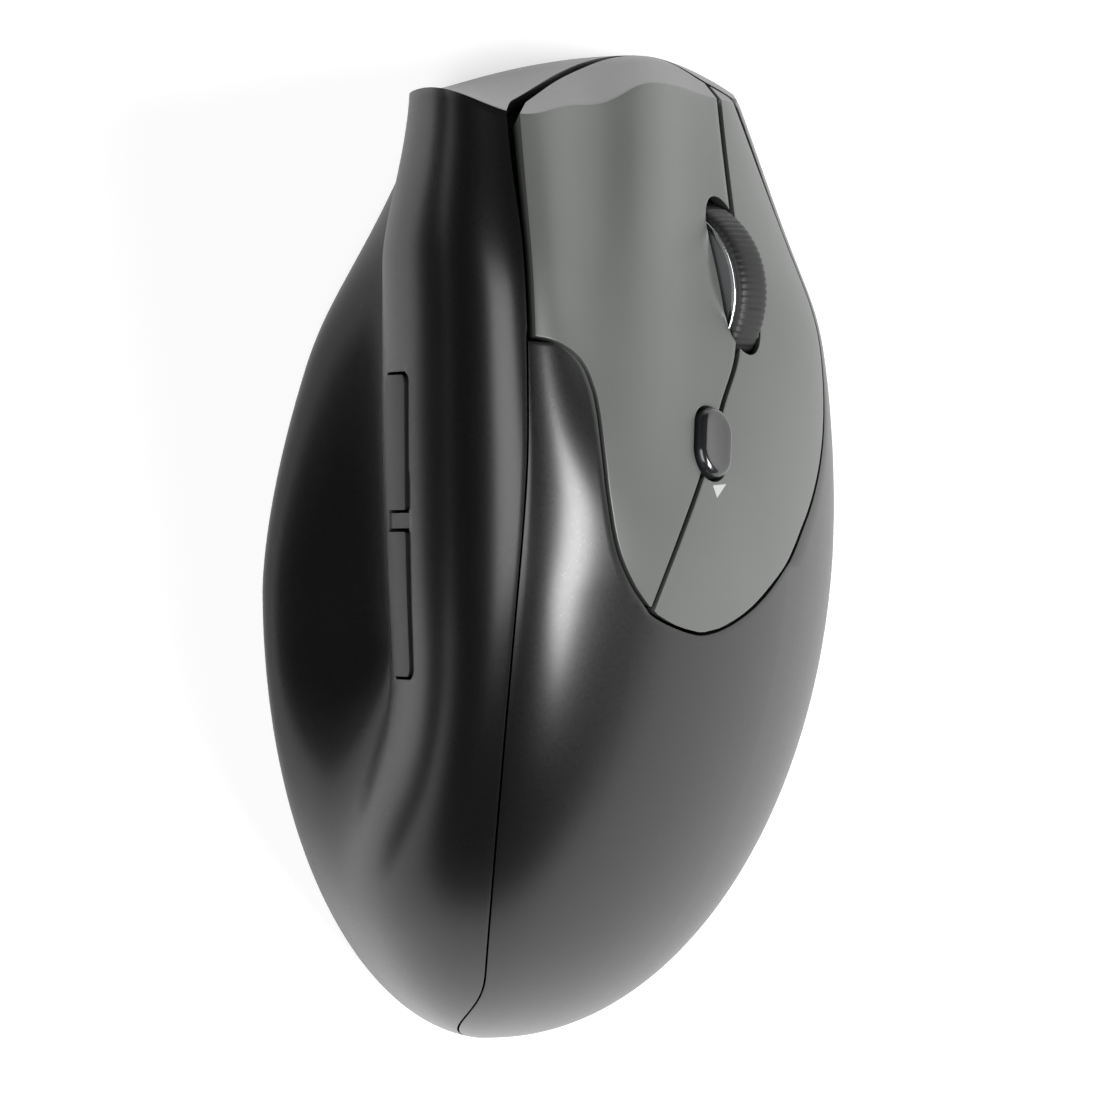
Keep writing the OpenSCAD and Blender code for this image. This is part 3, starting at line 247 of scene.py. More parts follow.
def bodyNormal(y, v):
    y, v = np.broadcast_arrays(np.asarray(y, float), np.asarray(v, float))
    step = np.where(y < 0, 0.02, -0.02)
    across = bodyPoint(y, np.minimum(vEnd, v + 0.03)) - bodyPoint(y, np.maximum(0, v - 0.03))
    along = (bodyPoint(y + step, v) - bodyPoint(y, v)) / step[..., None]
    n = np.cross(across, along)
    return n / np.linalg.norm(n, axis=-1, keepdims=True)


def vAt(y, x):
    # section parameter at a plan position on the slope
    y, x = np.broadcast_arrays(np.asarray(y, float), np.asarray(x, float))
    low = mix(2.0, 6.8, ease((y + 46) / 36))
    high = np.full(y.shape, 12.7)
    for _ in range(18):
        middle = (low + high) / 2
        left = bodySection(y, middle)[0] < x
        low = np.where(left, middle, low)
        high = np.where(left, high, middle)
    return (low + high) / 2


def vSeam(y):
    y = np.asarray(y, float)
    turn = tailY + 10
    upper = np.maximum(y, turn)
    tail = np.clip((turn - y) / 10, 0, 1) ** 3.2
    return mix(vAt(upper, crestX(upper)), 4.5, tail)


def curveAt(table, y):
    # smooth curve through pairs of station and value
    ys = np.array([p[0] for p in table], float)
    xs = np.array([p[1] for p in table], float)
    slope = np.empty_like(xs)
    slope[0] = (xs[1] - xs[0]) / (ys[1] - ys[0])
    slope[-1] = (xs[-1] - xs[-2]) / (ys[-1] - ys[-2])
    slope[1:-1] = (xs[2:] - xs[:-2]) / (ys[2:] - ys[:-2])
    y = np.asarray(y, float)
    i = np.clip(np.searchsorted(ys, y, side="right") - 1, 0, len(ys) - 2)
    h = ys[i + 1] - ys[i]
    s = np.clip((y - ys[i]) / h, 0, 1)
    return xs[i] * (1 + 2 * s) * (1 - s) ** 2 + slope[i] * h * s * (1 - s) ** 2 \
        + xs[i + 1] * s * s * (3 - 2 * s) - slope[i + 1] * h * s * s * (1 - s)


def tailRow(degrees):
    return tailY + bodyForm["length"] * (1 - np.cos(np.radians(degrees)))


def tailAngle(y):
    return np.degrees(np.arccos(np.clip(1 - (np.asarray(y, float) - tailY) / bodyForm["length"], -1, 1)))


# plan lines that bound the grey panel: station, side position
panelLines = {
    "inner": [(-7.4, 12.3), (-4.2, 10.1), (0, 8.3), (5.8, 7.2), (11.7, 6.5), (16.4, 5.9), (19.3, 5.2),
              (22.2, 3.8), (24.2, 1.4), (25.2, -1.2)],
    "middle": [(-7.4, 12.3), (-3, 14), (1.7, 15.8), (8.3, 18.2), (17.3, 20.9), (23.5, 22.7), (34, 22.7),
               (44, 22.4), (60, 20.8)],
    "heel": [(-9.9, 18.2), (-9.1, 15.3), (-7.4, 12.3)],
    "outer": [(-9.9, 18.2), (-9.3, 20.7), (-7.2, 24.1), (-4, 27.1), (-1.3, 29.0), (3.6, 31.1)],
}


def vInner(y, d=0.0):
    return vAt(y, curveAt(panelLines["inner"], y) + d)


def vMiddle(y, d=0.0):
    y = np.asarray(y, float)
    x = np.where(y < -7.4, curveAt(panelLines["heel"], y), curveAt(panelLines["middle"], y))
    return vAt(y, x + d)


def vOuter(y):
    y = np.asarray(y, float)
    endY, endX = panelLines["outer"][-1]
    front = 1 - (1 - np.clip((y - endY) / 26, 0, 1)) ** 2
    return np.where(y < endY, vAt(np.minimum(y, endY), curveAt(panelLines["outer"], y)),
                    mix(vAt(endY, endX), vSide, front))


def seamHalf(y):
    # half the seam gap as a section parameter, square to the seam
    y = np.asarray(y, float)
    v = vSeam(y)
    step = np.where(y < 0, 0.1, -0.1)
    along = bodyPoint(y + step, vSeam(y + step)) - bodyPoint(y, v)
    across = (bodyPoint(y, v + 0.05) - bodyPoint(y, v - 0.05)) / 0.1
    size = np.linalg.norm(np.cross(along, across), axis=-1)
    return np.minimum(0.4, 0.5 * bodyForm["seamGap"] * np.linalg.norm(along, axis=-1) / size)


vNose = float(vSeam(noseY))


# lip line, where the grey panel ends on the front, in side position and height
def frontLow(t):
    return mix(bodyPoint(noseY, 0.0)[[0, 2]], bodyPoint(noseY, vEnd)[[0, 2]], t[..., None])


def frontHigh(t):
    return mix(bodyPoint(noseY, vNose)[[0, 2]], bodyPoint(noseY, vSide)[[0, 2]], t[..., None])


def lipLine(t):
    low, high = frontLow(t), frontHigh(t)
    crest, side = bodyPoint(noseY, vNose)[2], bodyPoint(noseY, vSide)[2]
    z = mix(side, crest, (1 - t) ** 2.5)
    return mix(low, high, ((z - low[..., 1]) / (high[..., 1] - low[..., 1]))[..., None])


def lipNormal(t):
    d = lipLine(np.minimum(1, t + 0.02)) - lipLine(np.maximum(0, t - 0.02))
    return np.stack([-d[..., 1], d[..., 0]], -1) / np.linalg.norm(d, axis=-1, keepdims=True)


# materials

def newMaterial(name):
    material = bpy.data.materials.new(name)
    material.use_nodes = True
    nodes = material.node_tree.nodes
    links = material.node_tree.links
    shader = nodes["Principled BSDF"]
    coord = nodes.new("ShaderNodeTexCoord")
    return material, nodes, links, shader, coord


def addNoise(nodes, links, coord, scale, detail=2.0, rough=0.5):
    noise = nodes.new("ShaderNodeTexNoise")
    noise.inputs["Scale"].default_value = scale
    noise.inputs["Detail"].default_value = detail
    noise.inputs["Roughness"].default_value = rough
    links.new(coord.outputs["Object"], noise.inputs["Vector"])
    return noise


def addRamp(nodes, links, source, low, high, first=0.3, last=0.7):
    ramp = nodes.new("ShaderNodeValToRGB")
    ramp.color_ramp.elements[0].position = first
    ramp.color_ramp.elements[1].position = last
    ramp.color_ramp.elements[0].color = (*low, 1) if len(low) == 3 else low
    ramp.color_ramp.elements[1].color = (*high, 1) if len(high) == 3 else high
    links.new(source, ramp.inputs["Fac"])
    return ramp


def mouldedPlastic(name, dark, light, rough, grain=3200.0, bump=0.05, depth=0.02, specular=0.5, coat=0.0):
    material, nodes, links, shader, coord = newMaterial(name)
    mottle = addNoise(nodes, links, coord, 60.0, 4.0)
    ramp = addRamp(nodes, links, mottle.outputs["Fac"], dark, light)
    links.new(ramp.outputs["Color"], shader.inputs["Base Color"])
    fine = addNoise(nodes, links, coord, grain, 2.0, 0.6)
    gloss = nodes.new("ShaderNodeMapRange")
    gloss.inputs["To Min"].default_value = rough - 0.04
    gloss.inputs["To Max"].default_value = rough + 0.04
    links.new(fine.outputs["Fac"], gloss.inputs["Value"])
    links.new(gloss.outputs["Result"], shader.inputs["Roughness"])
    relief = nodes.new("ShaderNodeBump")
    relief.inputs["Strength"].default_value = bump
    relief.inputs["Distance"].default_value = depth * mm
    links.new(fine.outputs["Fac"], relief.inputs["Height"])
    links.new(relief.outputs["Normal"], shader.inputs["Normal"])
    shader.inputs["Specular IOR Level"].default_value = specular
    shader.inputs["Coat Weight"].default_value = coat
    return material


def turnedMetal(name, dark, light, rough, scale=900.0):
    material, nodes, links, shader, coord = newMaterial(name)
    noise = addNoise(nodes, links, coord, scale, 3.0)
    ramp = addRamp(nodes, links, noise.outputs["Fac"], dark, light)
    links.new(ramp.outputs["Color"], shader.inputs["Base Color"])
    gloss = nodes.new("ShaderNodeMapRange")
    gloss.inputs["To Min"].default_value = rough - 0.05
    gloss.inputs["To Max"].default_value = rough + 0.08
    links.new(noise.outputs["Fac"], gloss.inputs["Value"])
    links.new(gloss.outputs["Result"], shader.inputs["Roughness"])
    shader.inputs["Metallic"].default_value = 1.0
    return material


def clearPart(name, tint, rough):
    material, nodes, links, shader, coord = newMaterial(name)
    noise = addNoise(nodes, links, coord, 400.0, 2.0)
    ramp = addRamp(nodes, links, noise.outputs["Fac"], tuple(0.96 * c for c in tint), tint)
    links.new(ramp.outputs["Color"], shader.inputs["Base Color"])
    shader.inputs["Roughness"].default_value = rough
    shader.inputs["Transmission Weight"].default_value = 0.85
    shader.inputs["IOR"].default_value = 1.49
    return material


def solderMask(name):
    # green board with paler copper tracks under the mask
    material, nodes, links, shader, coord = newMaterial(name)
    tracks = nodes.new("ShaderNodeTexBrick")
    tracks.inputs["Scale"].default_value = 260.0
    tracks.inputs["Mortar Size"].default_value = 0.03
    tracks.inputs["Color1"].default_value = (0.012, 0.075, 0.03, 1)
    tracks.inputs["Color2"].default_value = (0.016, 0.095, 0.04, 1)
    tracks.inputs["Mortar"].default_value = (0.05, 0.2, 0.09, 1)
    links.new(coord.outputs["Object"], tracks.inputs["Vector"])
    links.new(tracks.outputs["Color"], shader.inputs["Base Color"])
    shader.inputs["Roughness"].default_value = 0.34
    return material


finishes = {
    "shell_black": mouldedPlastic("satinBlack", (0.0019, 0.0018, 0.0019), (0.0027, 0.0026, 0.0026),
                                  0.29, 2600.0, 0.06, 0.02),
    "base_black": mouldedPlastic("baseBlack", (0.011, 0.011, 0.012), (0.016, 0.016, 0.017),
                                 0.52, 1500.0, 0.22, 0.05),
    "button_grey": mouldedPlastic("panelGrey", (0.060, 0.0645, 0.060), (0.067, 0.0715, 0.067),
                                  0.36, 3000.0, 0.05, 0.02),
    "thumb_key_black": mouldedPlastic("keyBlack", (0.008, 0.008, 0.008), (0.012, 0.012, 0.012),
                                      0.42, 2600.0, 0.12, 0.03),
    "oval_black": mouldedPlastic("ovalBlack", (0.007, 0.007, 0.008), (0.011, 0.011, 0.012),
                                 0.2, 2000.0, 0.03, 0.02, 0.6, 0.3),
    "tyre_rubber": mouldedPlastic("tyreRubber", (0.006, 0.006, 0.0065), (0.010, 0.010, 0.011),
                                  0.5, 1600.0, 0.12, 0.03, 0.3),
    "hub_grey": mouldedPlastic("hubGrey", (0.10, 0.102, 0.105), (0.13, 0.132, 0.135),
                               0.34, 1800.0, 0.05, 0.02),
    "ring_chrome": turnedMetal("ringChrome", (0.80, 0.81, 0.83), (0.88, 0.89, 0.90), 0.10),
    "steel": turnedMetal("plainSteel", (0.42, 0.43, 0.44), (0.56, 0.57, 0.58), 0.30),
    "frame_plastic": mouldedPlastic("framePlastic", (0.030, 0.031, 0.034), (0.042, 0.043, 0.047),
                                    0.5, 1500.0, 0.15, 0.03),
    "board_green": solderMask("boardGreen"),
    "switch_black": mouldedPlastic("switchBlack", (0.014, 0.014, 0.016), (0.02, 0.02, 0.022),
                                   0.42, 1800.0, 0.1, 0.02),
    "plunger_white": mouldedPlastic("plungerWhite", (0.62, 0.62, 0.58), (0.7, 0.7, 0.66),
                                    0.4, 1800.0, 0.05, 0.02),
    "plunger_brass": turnedMetal("plungerBrass", (0.52, 0.37, 0.12), (0.66, 0.5, 0.2), 0.28),
    "diode_clear": clearPart("diodeClear", (0.86, 0.84, 0.76), 0.1),
    "chip_black": mouldedPlastic("chipBlack", (0.010, 0.010, 0.011), (0.015, 0.015, 0.016),
                                 0.38, 2200.0, 0.1, 0.02),
    "lens_clear": clearPart("lensClear", (0.92, 0.95, 0.96), 0.04),
    "lamp_red": clearPart("lampRed", (0.75, 0.08, 0.05), 0.08),
    "can_blue": mouldedPlastic("canBlue", (0.03, 0.05, 0.14), (0.04, 0.07, 0.19), 0.3, 1500.0, 0.03, 0.02),
    "switch_grey": mouldedPlastic("switchGrey", (0.23, 0.24, 0.25), (0.29, 0.3, 0.31),
                                  0.42, 1800.0, 0.08, 0.02),
    "cell_wrap": mouldedPlastic("cellWrap", (0.34, 0.19, 0.035), (0.44, 0.26, 0.055),
                                0.3, 900.0, 0.03, 0.02),
    "foot_black": mouldedPlastic("footBlack", (0.006, 0.006, 0.007), (0.010, 0.010, 0.011),
                                 0.3, 1200.0, 0.04, 0.02),
    "cable_flat": mouldedPlastic("cableFlat", (0.5, 0.47, 0.4), (0.6, 0.57, 0.49), 0.4, 700.0, 0.05, 0.02),
}
for row in frame["record"]["subparts"]:
    node = frame["nodes"][row["node"]]
    node.data.materials.clear()
    node.data.materials.append(finishes[row["material_slot"]])
print("materials:", len(finishes))

# slope frame, its origin on the wheel axle

slopeForm = {"tilt": 52.0, "pitch": 13.0, "wheelC": (16.0739, 30.6698, 28.6844)}
tilt = math.radians(slopeForm["tilt"])
pitch = math.radians(slopeForm["pitch"])
slopeMatrix = Matrix.Translation(Vector(slopeForm["wheelC"]) * mm) \
    @ Matrix.Rotation(tilt, 4, "Y") @ Matrix.Rotation(-pitch, 4, "X")
acrossMatrix = slopeMatrix @ Matrix.Rotation(math.radians(90), 4, "Y")  # local z along the axle


def placeOn(piece, matrix):
    makeActive(piece)
    piece.data.transform(matrix)
    piece.data.update()


# thumb shell, the left side and the front

thumbShell = {"rows": 170, "frontRows": 44, "columns": 110, "edge": 0.28}


def thumbEdge(y):
    y = np.asarray(y, float)
    return vSeam(y) - np.where(y > bodyForm["panelY"], 0.1 * ease((y - 40) / 20), seamHalf(y))


def frontPoints(t, f):
    # front face, ruled from the left profile to the right corner and cut along the lip line
    topA = bodyPoint(noseY, f * float(thumbEdge(noseY)))
    topB = bodyPoint(noseY, vEnd - f * (vEnd - vSide))
    q = mix(topA[..., [0, 2]], topB[..., [0, 2]], t[..., None])
    low, high = frontLow(t), frontHigh(t)
    share = (np.linalg.norm(q - low, axis=-1) / np.linalg.norm(high - low, axis=-1))[..., None]
    gap = (np.minimum(1, 12 * t) * 2 * bodyForm["buttonGap"])[..., None]
    r = q + share * (lipLine(t) - high - gap * lipNormal(t))
    x, z = r[..., 0] - t * bodyForm["seamGap"], r[..., 1]
    return np.stack([x, frontY(x, z), z], -1)


stations = tailRow(np.linspace(bodyForm["tailAngle"], 90, thumbShell["rows"]))
share = np.linspace(0, 1, thumbShell["columns"])
sideRows = bodyPoint(stations[:, None], share[None] * thumbEdge(stations)[:, None])
frontT = np.linspace(0, 1, thumbShell["frontRows"] + 1)[1:]
frontRows = frontPoints(np.repeat(frontT[:, None], len(share), 1), np.repeat(share[None], len(frontT), 0))
thumbPiece = gridPiece("thumbShell", np.concatenate([sideRows, frontRows]))
thickenShell(thumbPiece, bodyForm["wall"])

# the slot for the two thumb keys
thumbSlot = {"y0": -15.4, "y1": 21.0, "ym": 3.4, "v0": 5.95, "v1": 6.65, "gap": 0.4, "divider": 1.8,
             "out": 0.4, "corner": 1.5, "rows": 60, "columns": 24}


def wallPatch(name, y0, y1, v0, v1, out, deep, corner0, corner1, bulge=0.0):
    # closed patch of the thumb wall with rounded corners at its ends
    rows, columns = thumbSlot["rows"], thumbSlot["columns"]
    s = 0.5 - 0.5 * np.cos(np.linspace(0, math.pi, rows + 1))
    y = mix(y0, y1, s)
    vm = (v0 + v1) / 2
    perV = np.linalg.norm(bodyPoint(0.0, vm + 0.1) - bodyPoint(0.0, vm - 0.1)) / 0.2
    half = (v1 - v0) / 2 * perV
    pinch = np.zeros_like(y)
    for d, radius in ((y - y0, corner0), (y1 - y, corner1)):
        if radius > 0:
            inside = np.clip(radius - d, 0, radius)
            pinch = np.maximum(pinch, radius - np.sqrt(np.clip(radius ** 2 - inside ** 2, 0, None)))
    width = (half - pinch) / perV
    t = np.linspace(-1, 1, columns + 1)
    v = vm + t[None] * width[:, None]
    yy = np.repeat(y[:, None], columns + 1, 1)
    lift = out + bulge * (1 - t[None] ** 2) * np.ones_like(yy)
    points = bodyPoint(yy, v) + lift[..., None] * bodyNormal(yy, v)
    piece = gridPiece(name, points)
    thicken(piece, out + deep)
    return piece


slotCutter = wallPatch("slotCutter", thumbSlot["y0"], thumbSlot["y1"], thumbSlot["v0"], thumbSlot["v1"],
                       3.0, 5.0, thumbSlot["corner"], thumbSlot["corner"])
cutWith(thumbPiece, slotCutter)
dropPiece(slotCutter)
roundEdges(thumbPiece, thumbShell["edge"], 2, 40)
smoothByAngle(thumbPiece, 50)
finishPiece(thumbPiece, "case", "shell_black", finishes["shell_black"], "thumb_shell")
print("thumb shell:", len(thumbPiece.data.polygons), "faces")

# divider bar between the keys
ym, halfBar = thumbSlot["ym"], thumbSlot["divider"] / 2
dividerPiece = wallPatch("thumbDivider", ym - halfBar, ym + halfBar,
                         thumbSlot["v0"] - 0.06, thumbSlot["v1"] + 0.06, -0.3, 1.9, 0, 0)
roundEdges(dividerPiece, 0.3, 3)
smoothByAngle(dividerPiece, 50)
finishPiece(dividerPiece, "case", "thumb_key_black", finishes["thumb_key_black"])

# the two keys
gapV = thumbSlot["gap"] / 10
for name, node, y0, y1, c0, c1 in (
        ("forwardKey", "forward_button",
         ym + halfBar + thumbSlot["gap"], thumbSlot["y1"] - thumbSlot["gap"], 0.4, 1.2),
        ("backKey", "back_button",
         thumbSlot["y0"] + thumbSlot["gap"], ym - halfBar - thumbSlot["gap"], 1.2, 0.4)):
    key = wallPatch(name, y0, y1, thumbSlot["v0"] + gapV, thumbSlot["v1"] - gapV,
                    thumbSlot["out"] - 0.15, 2.4, c0, c1, 0.15)
    roundEdges(key, 0.45, 3)
    smoothByAngle(key, 50)
    finishPiece(key, node, "thumb_key_black", finishes["thumb_key_black"], node)
print("thumb keys done")

# palm shell

palmShell = {
    "backRows": 110, "leftRows": 56, "rightRows": 90, "stripColumns": 14, "heelColumns": 72, "edge": 0.28,
    "leftEnd": 24.4, "seamStart": -7.311,
    "heel": [(-5.3, 10.8), (-6, 11.3), (-6.7, 11.8), (-7.4, 12.3), (-8.2, 13.5), (-8.8, 14.7), (-9.3, 15.9),
             (-9.7, 17.1), (-9.9, 18.2), (-9.8, 19.1), (-9.6, 19.9), (-9.3, 20.7), (-8.6, 22.1), (-7.2, 24.1),
             (-5.7, 25.7), (-4, 27.1), (-1.3, 29)],
    "rim": [(-8, -1.3), (-2, 2), (4, 6), (10.5, 11), (18, 18), (26, 26), (35, 35), (43.5, 43.5), (51, 51),
            (56, 56), (60, 60)],
}


def along(table, count):
    # a smooth line through listed points, taken at even shares of its length
    p = np.array(table, float)
    n = len(p)
    i = np.linspace(0, n - 1, 12 * n)
    fine = np.stack([curveAt(list(zip(range(n), p[:, c])), i) for c in range(p.shape[1])], -1)
    run = np.concatenate([[0], np.cumsum(np.linalg.norm(np.diff(fine, axis=0), axis=1))])
    take = np.linspace(0, run[-1], count + 1)
    return np.stack([np.interp(take, run, fine[:, c]) for c in range(p.shape[1])], -1)


def shifted(line, d):
    # outline in station and section parameter, moved sideways
    before = np.concatenate([line[:1], line[:-1]])
    after = np.concatenate([line[1:], line[-1:]])
    t = (after - before) * np.array([1, 13])
    t /= np.linalg.norm(t, axis=1, keepdims=True)
    return line + d * np.stack([t[:, 1], -t[:, 0] / 13], -1)


def toShare(y, v):
    seam = vSeam(y)
    return np.stack([tailAngle(y), (v - seam) / (vEnd - seam)], -1)


nb, nl, nr = palmShell["backRows"], palmShell["leftRows"], palmShell["rightRows"]
ns, nh = palmShell["stripColumns"], palmShell["heelColumns"]
heelLine = along(palmShell["heel"], nh)
leftY = np.linspace(palmShell["leftEnd"], palmShell["heel"][0][0], nl + 1)[:-1]
rimLine = along(palmShell["rim"], nr)[1:]
outline = np.concatenate([np.stack([leftY, vInner(leftY)], -1),
                          np.stack([heelLine[:, 0], vAt(heelLine[:, 0], heelLine[:, 1])], -1),
                          np.stack([rimLine[:, 1], vOuter(rimLine[:, 1])], -1)])
outline = shifted(outline, -0.5 * bodyForm["buttonGap"])
panelShare = toShare(outline[:, 0], outline[:, 1])
seamY = np.linspace(palmShell["seamStart"], palmShell["leftEnd"], nl + 1)
seamShare = toShare(seamY, vSeam(seamY) + seamHalf(seamY))
rimY = np.concatenate([[palmShell["rim"][0][0]], rimLine[:, 0]])
rimShare = np.stack([tailAngle(rimY), np.ones(nr + 1)], -1)
steps = np.linspace(0, 1, ns + 1)[:, None]
heelRow = np.concatenate([mix(seamShare[0], panelShare[nl], steps)[:-1], panelShare[nl:nl + nh + 1],
                          mix(panelShare[nl + nh], rimShare[0], steps)[1:]])
palmRows = []
for i in range(nb):
    row = heelRow.copy()
    row[:, 0] = mix(bodyForm["tailAngle"], heelRow[:, 0], i / nb)
    y = tailRow(row[0, 0])
    first = float((seamHalf(y)) / (vEnd - vSeam(y)))
    row[:, 1] = first + (row[:, 1] - heelRow[0, 1]) * (1 - first) / (1 - heelRow[0, 1])
    palmRows.append(row)
palmRows.append(heelRow)
for k in range(1, nr + 1):
    a = panelShare[max(0, nl - k)]
    b = panelShare[nl + nh + k]
    across = np.linspace(0, 1, nh + 1)[1:-1, None]
    nearSeam = mix(seamShare[min(k, nl)], a, steps)
    palmRows.append(np.concatenate([nearSeam, mix(a, b, across), mix(b, rimShare[k], steps)]))
palmRows = np.array(palmRows)
palmY = tailRow(palmRows[..., 0])
palmV = mix(vSeam(palmY), vEnd, palmRows[..., 1])
palmPoints = bodyPoint(palmY, palmV)
palmPoints[-1, :, 1] -= bodyForm["seamGap"]
palmPiece = gridPiece("palmShell", palmPoints)
columns = ns + nh + ns
gone = np.zeros((nb + nr, columns), bool)
gone[nb:, ns:ns + nh] = True
gone[nb + nl:, :ns] = True
flags = gone.reshape(-1)
selectFaces(palmPiece, lambda polygon: flags[polygon.index])
bpy.ops.mesh.delete(type="FACE")
bpy.ops.object.mode_set(mode="OBJECT")
thickenShell(palmPiece, bodyForm["wall"])
roundEdges(palmPiece, palmShell["edge"], 2, 40)
smoothByAngle(palmPiece, 50)
finishPiece(palmPiece, "case", "shell_black", finishes["shell_black"], "palm_shell")
print("palm shell:", len(palmPiece.data.polygons), "faces")

# the two main buttons

mainButtons = {"rows": 120, "skirtRows": 16, "columns": 60, "edge": 0.3,
               "leftStart": -6.7, "rightStart": -9.75, "wellR": 12.7, "slotW": 7.4}


def skirtPoints(v, k):
    # front fold of a button, from the front edge down to its lower line
    f = np.clip((v - vNose) / (vSide - vNose), 0, 1) ** 0.75
    q = mix(bodyPoint(noseY, v)[..., [0, 2]], lipLine(f), k[..., None])
    return np.stack([q[..., 0], frontY(q[..., 0], q[..., 1]), q[..., 1]], -1)


def buttonPiece(name, y, vLeft, vRight):
    t = np.linspace(0, 1, mainButtons["columns"] + 1)
    v = mix(vLeft[:, None], vRight[:, None], t[None])
    top = bodyPoint(np.repeat(y[:, None], len(t), 1), v)
    k = np.linspace(0, 1, mainButtons["skirtRows"] + 1)[1:]
    low = skirtPoints(np.repeat(v[-1][None], len(k), 0), np.repeat(k[:, None], len(t), 1))
    piece = gridPiece(name, np.concatenate([top, low]))
    thicken(piece, bodyForm["wall"])
    return piece


def wellCutter():
    # a barrel round the wheel with a full round rim
    deselectAll()
    bpy.ops.mesh.primitive_cylinder_add(vertices=96, radius=mainButtons["wellR"] * mm,
                                        depth=mainButtons["slotW"] * mm)
    cutter = bpy.context.active_object
    applyModifier(cutter, "BEVEL", width=(mainButtons["slotW"] / 2 - 0.01) * mm, segments=10,
                  limit_method="ANGLE", angle_limit=math.radians(60))
    placeOn(cutter, acrossMatrix)
    return cutter


ovalKey = {"at": (-11.7498, -20.6498), "height": 9.11626, "turn": -20.0,
           "width": 5.8, "length": 8.6, "out": 1.1, "gap": 0.45, "deep": 2.4}


def stadiumSolid(name, width, length, low, high):
    deselectAll()
    bpy.ops.mesh.primitive_cylinder_add(vertices=64, radius=width / 2 * mm, depth=(high - low) * mm,
                                        location=(0, 0, (high + low) / 2 * mm))
    piece = bpy.context.active_object
    piece.name = name
    bpy.ops.object.transform_apply(location=True, rotation=True, scale=True)
    half = (length - width) / 2 * mm
    for vertex in piece.data.vertices:
        if abs(vertex.co.y) > 1e-7:
            vertex.co.y += math.copysign(half, vertex.co.y)
    return piece


ovalMatrix = slopeMatrix @ Matrix.Translation(Vector((*ovalKey["at"], 0)) * mm) \
    @ Matrix.Rotation(math.radians(ovalKey["turn"]), 4, "Z")


def ovalCutter():
    cutter = stadiumSolid("ovalCutter", ovalKey["width"] + 2 * ovalKey["gap"],
                          ovalKey["length"] + 2 * ovalKey["gap"], 1, 30)
    placeOn(cutter, ovalMatrix)
    return cutter


def buttonRows(start):
    return np.concatenate([mix(start, 0, np.linspace(0, 1, 24)[:-1]),
                           np.linspace(0, noseY, mainButtons["rows"] - 23)])


half = bodyForm["buttonGap"] / 2
leftY = np.concatenate([mix(mainButtons["leftStart"], 0, np.linspace(0, 1, 20)[:-1]),
                        np.linspace(0, 20, 36)[:-1], np.linspace(20, 26.4, 30)[:-1],
                        np.linspace(26.4, noseY, 50)])
leftIn = np.where(leftY < 25, vInner(leftY, half), vAt(leftY, crestX(leftY) + bodyForm["crestGap"]))
leftPiece = buttonPiece("leftButton", leftY, leftIn, vMiddle(leftY, -half))
rightY = buttonRows(mainButtons["rightStart"])
rightOut = vOuter(rightY) - bodyForm["buttonGap"] / 26 - 0.1 * ease((rightY - 45) / 15)
rightPiece = buttonPiece("rightButton", rightY, vMiddle(rightY, half), rightOut)
for piece, node in ((leftPiece, "left_button"), (rightPiece, "right_button")):
    for cutter in (wellCutter(), ovalCutter()):
        cutWith(piece, cutter)
        dropPiece(cutter)
    roundEdges(piece, mainButtons["edge"], 2, 40)
    smoothByAngle(piece, 50)
    finishPiece(piece, node, "button_grey", finishes["button_grey"], node)
print("main buttons:", len(leftPiece.data.polygons), len(rightPiece.data.polygons), "faces")

# oval button

deselectAll()
ovalPiece = stadiumSolid("ovalButton", ovalKey["width"], ovalKey["length"],
                         ovalKey["height"] - ovalKey["deep"], ovalKey["height"] + ovalKey["out"])
selectFaces(ovalPiece, lambda polygon: polygon.normal.z > 0.9)
bpy.ops.mesh.bevel(offset=0.75 * mm, segments=5, profile=0.5)
bpy.ops.object.mode_set(mode="OBJECT")
selectFaces(ovalPiece, lambda polygon: polygon.normal.z > 0.9 and len(polygon.vertices) > 8)
bpy.ops.mesh.inset(thickness=0.5 * mm, depth=-0.08 * mm)
bpy.ops.object.mode_set(mode="OBJECT")
placeOn(ovalPiece, ovalMatrix)
smoothByAngle(ovalPiece, 40)
finishPiece(ovalPiece, "oval_button", "oval_black", finishes["oval_black"], "oval_button")

# scroll wheel tyre, ribbed across

tyreForm = {"radius": 11.5, "width": 5.4, "hubR": 10.4, "ribs": 168, "ribDepth": 0.2,
            "perRib": 4, "around": 24}
deselectAll()
bpy.ops.mesh.primitive_torus_add(major_segments=tyreForm["ribs"] * tyreForm["perRib"],
                                 minor_segments=tyreForm["around"],
                                 major_radius=10 * mm, minor_radius=1 * mm)
tyrePiece = bpy.context.active_object
tyrePiece.name = "wheelTyre"
co = np.empty(len(tyrePiece.data.vertices) * 3)
tyrePiece.data.vertices.foreach_get("co", co)
co = co.reshape(-1, 3) / mm
angle = np.arctan2(co[:, 1], co[:, 0])
turn = np.arctan2(co[:, 2], np.hypot(co[:, 0], co[:, 1]) - 10)  # 0 points out of the wheel
power = 2 / 3.2
side = np.sign(np.sin(turn)) * np.abs(np.sin(turn)) ** power * tyreForm["width"] / 2
deep = tyreForm["radius"] - tyreForm["hubR"]
out = np.sign(np.cos(turn)) * np.abs(np.cos(turn)) ** power
radius = tyreForm["hubR"] + deep * np.clip(out, 0, 1)
wave = 0.5 + 0.5 * np.cos(angle * tyreForm["ribs"])
radius -= tyreForm["ribDepth"] * (1 - wave ** 0.7) * np.clip(out * 1.6, 0, 1)
co = np.stack([radius * np.cos(angle), radius * np.sin(angle), side], -1)
tyrePiece.data.vertices.foreach_set("co", (co * mm).reshape(-1).astype(np.float32))
placeOn(tyrePiece, acrossMatrix)
smoothByAngle(tyrePiece, 60)
finishPiece(tyrePiece, "wheel", "tyre_rubber", finishes["tyre_rubber"], "wheel_tyre")
print("wheel tyre:", len(tyrePiece.data.polygons), "faces")

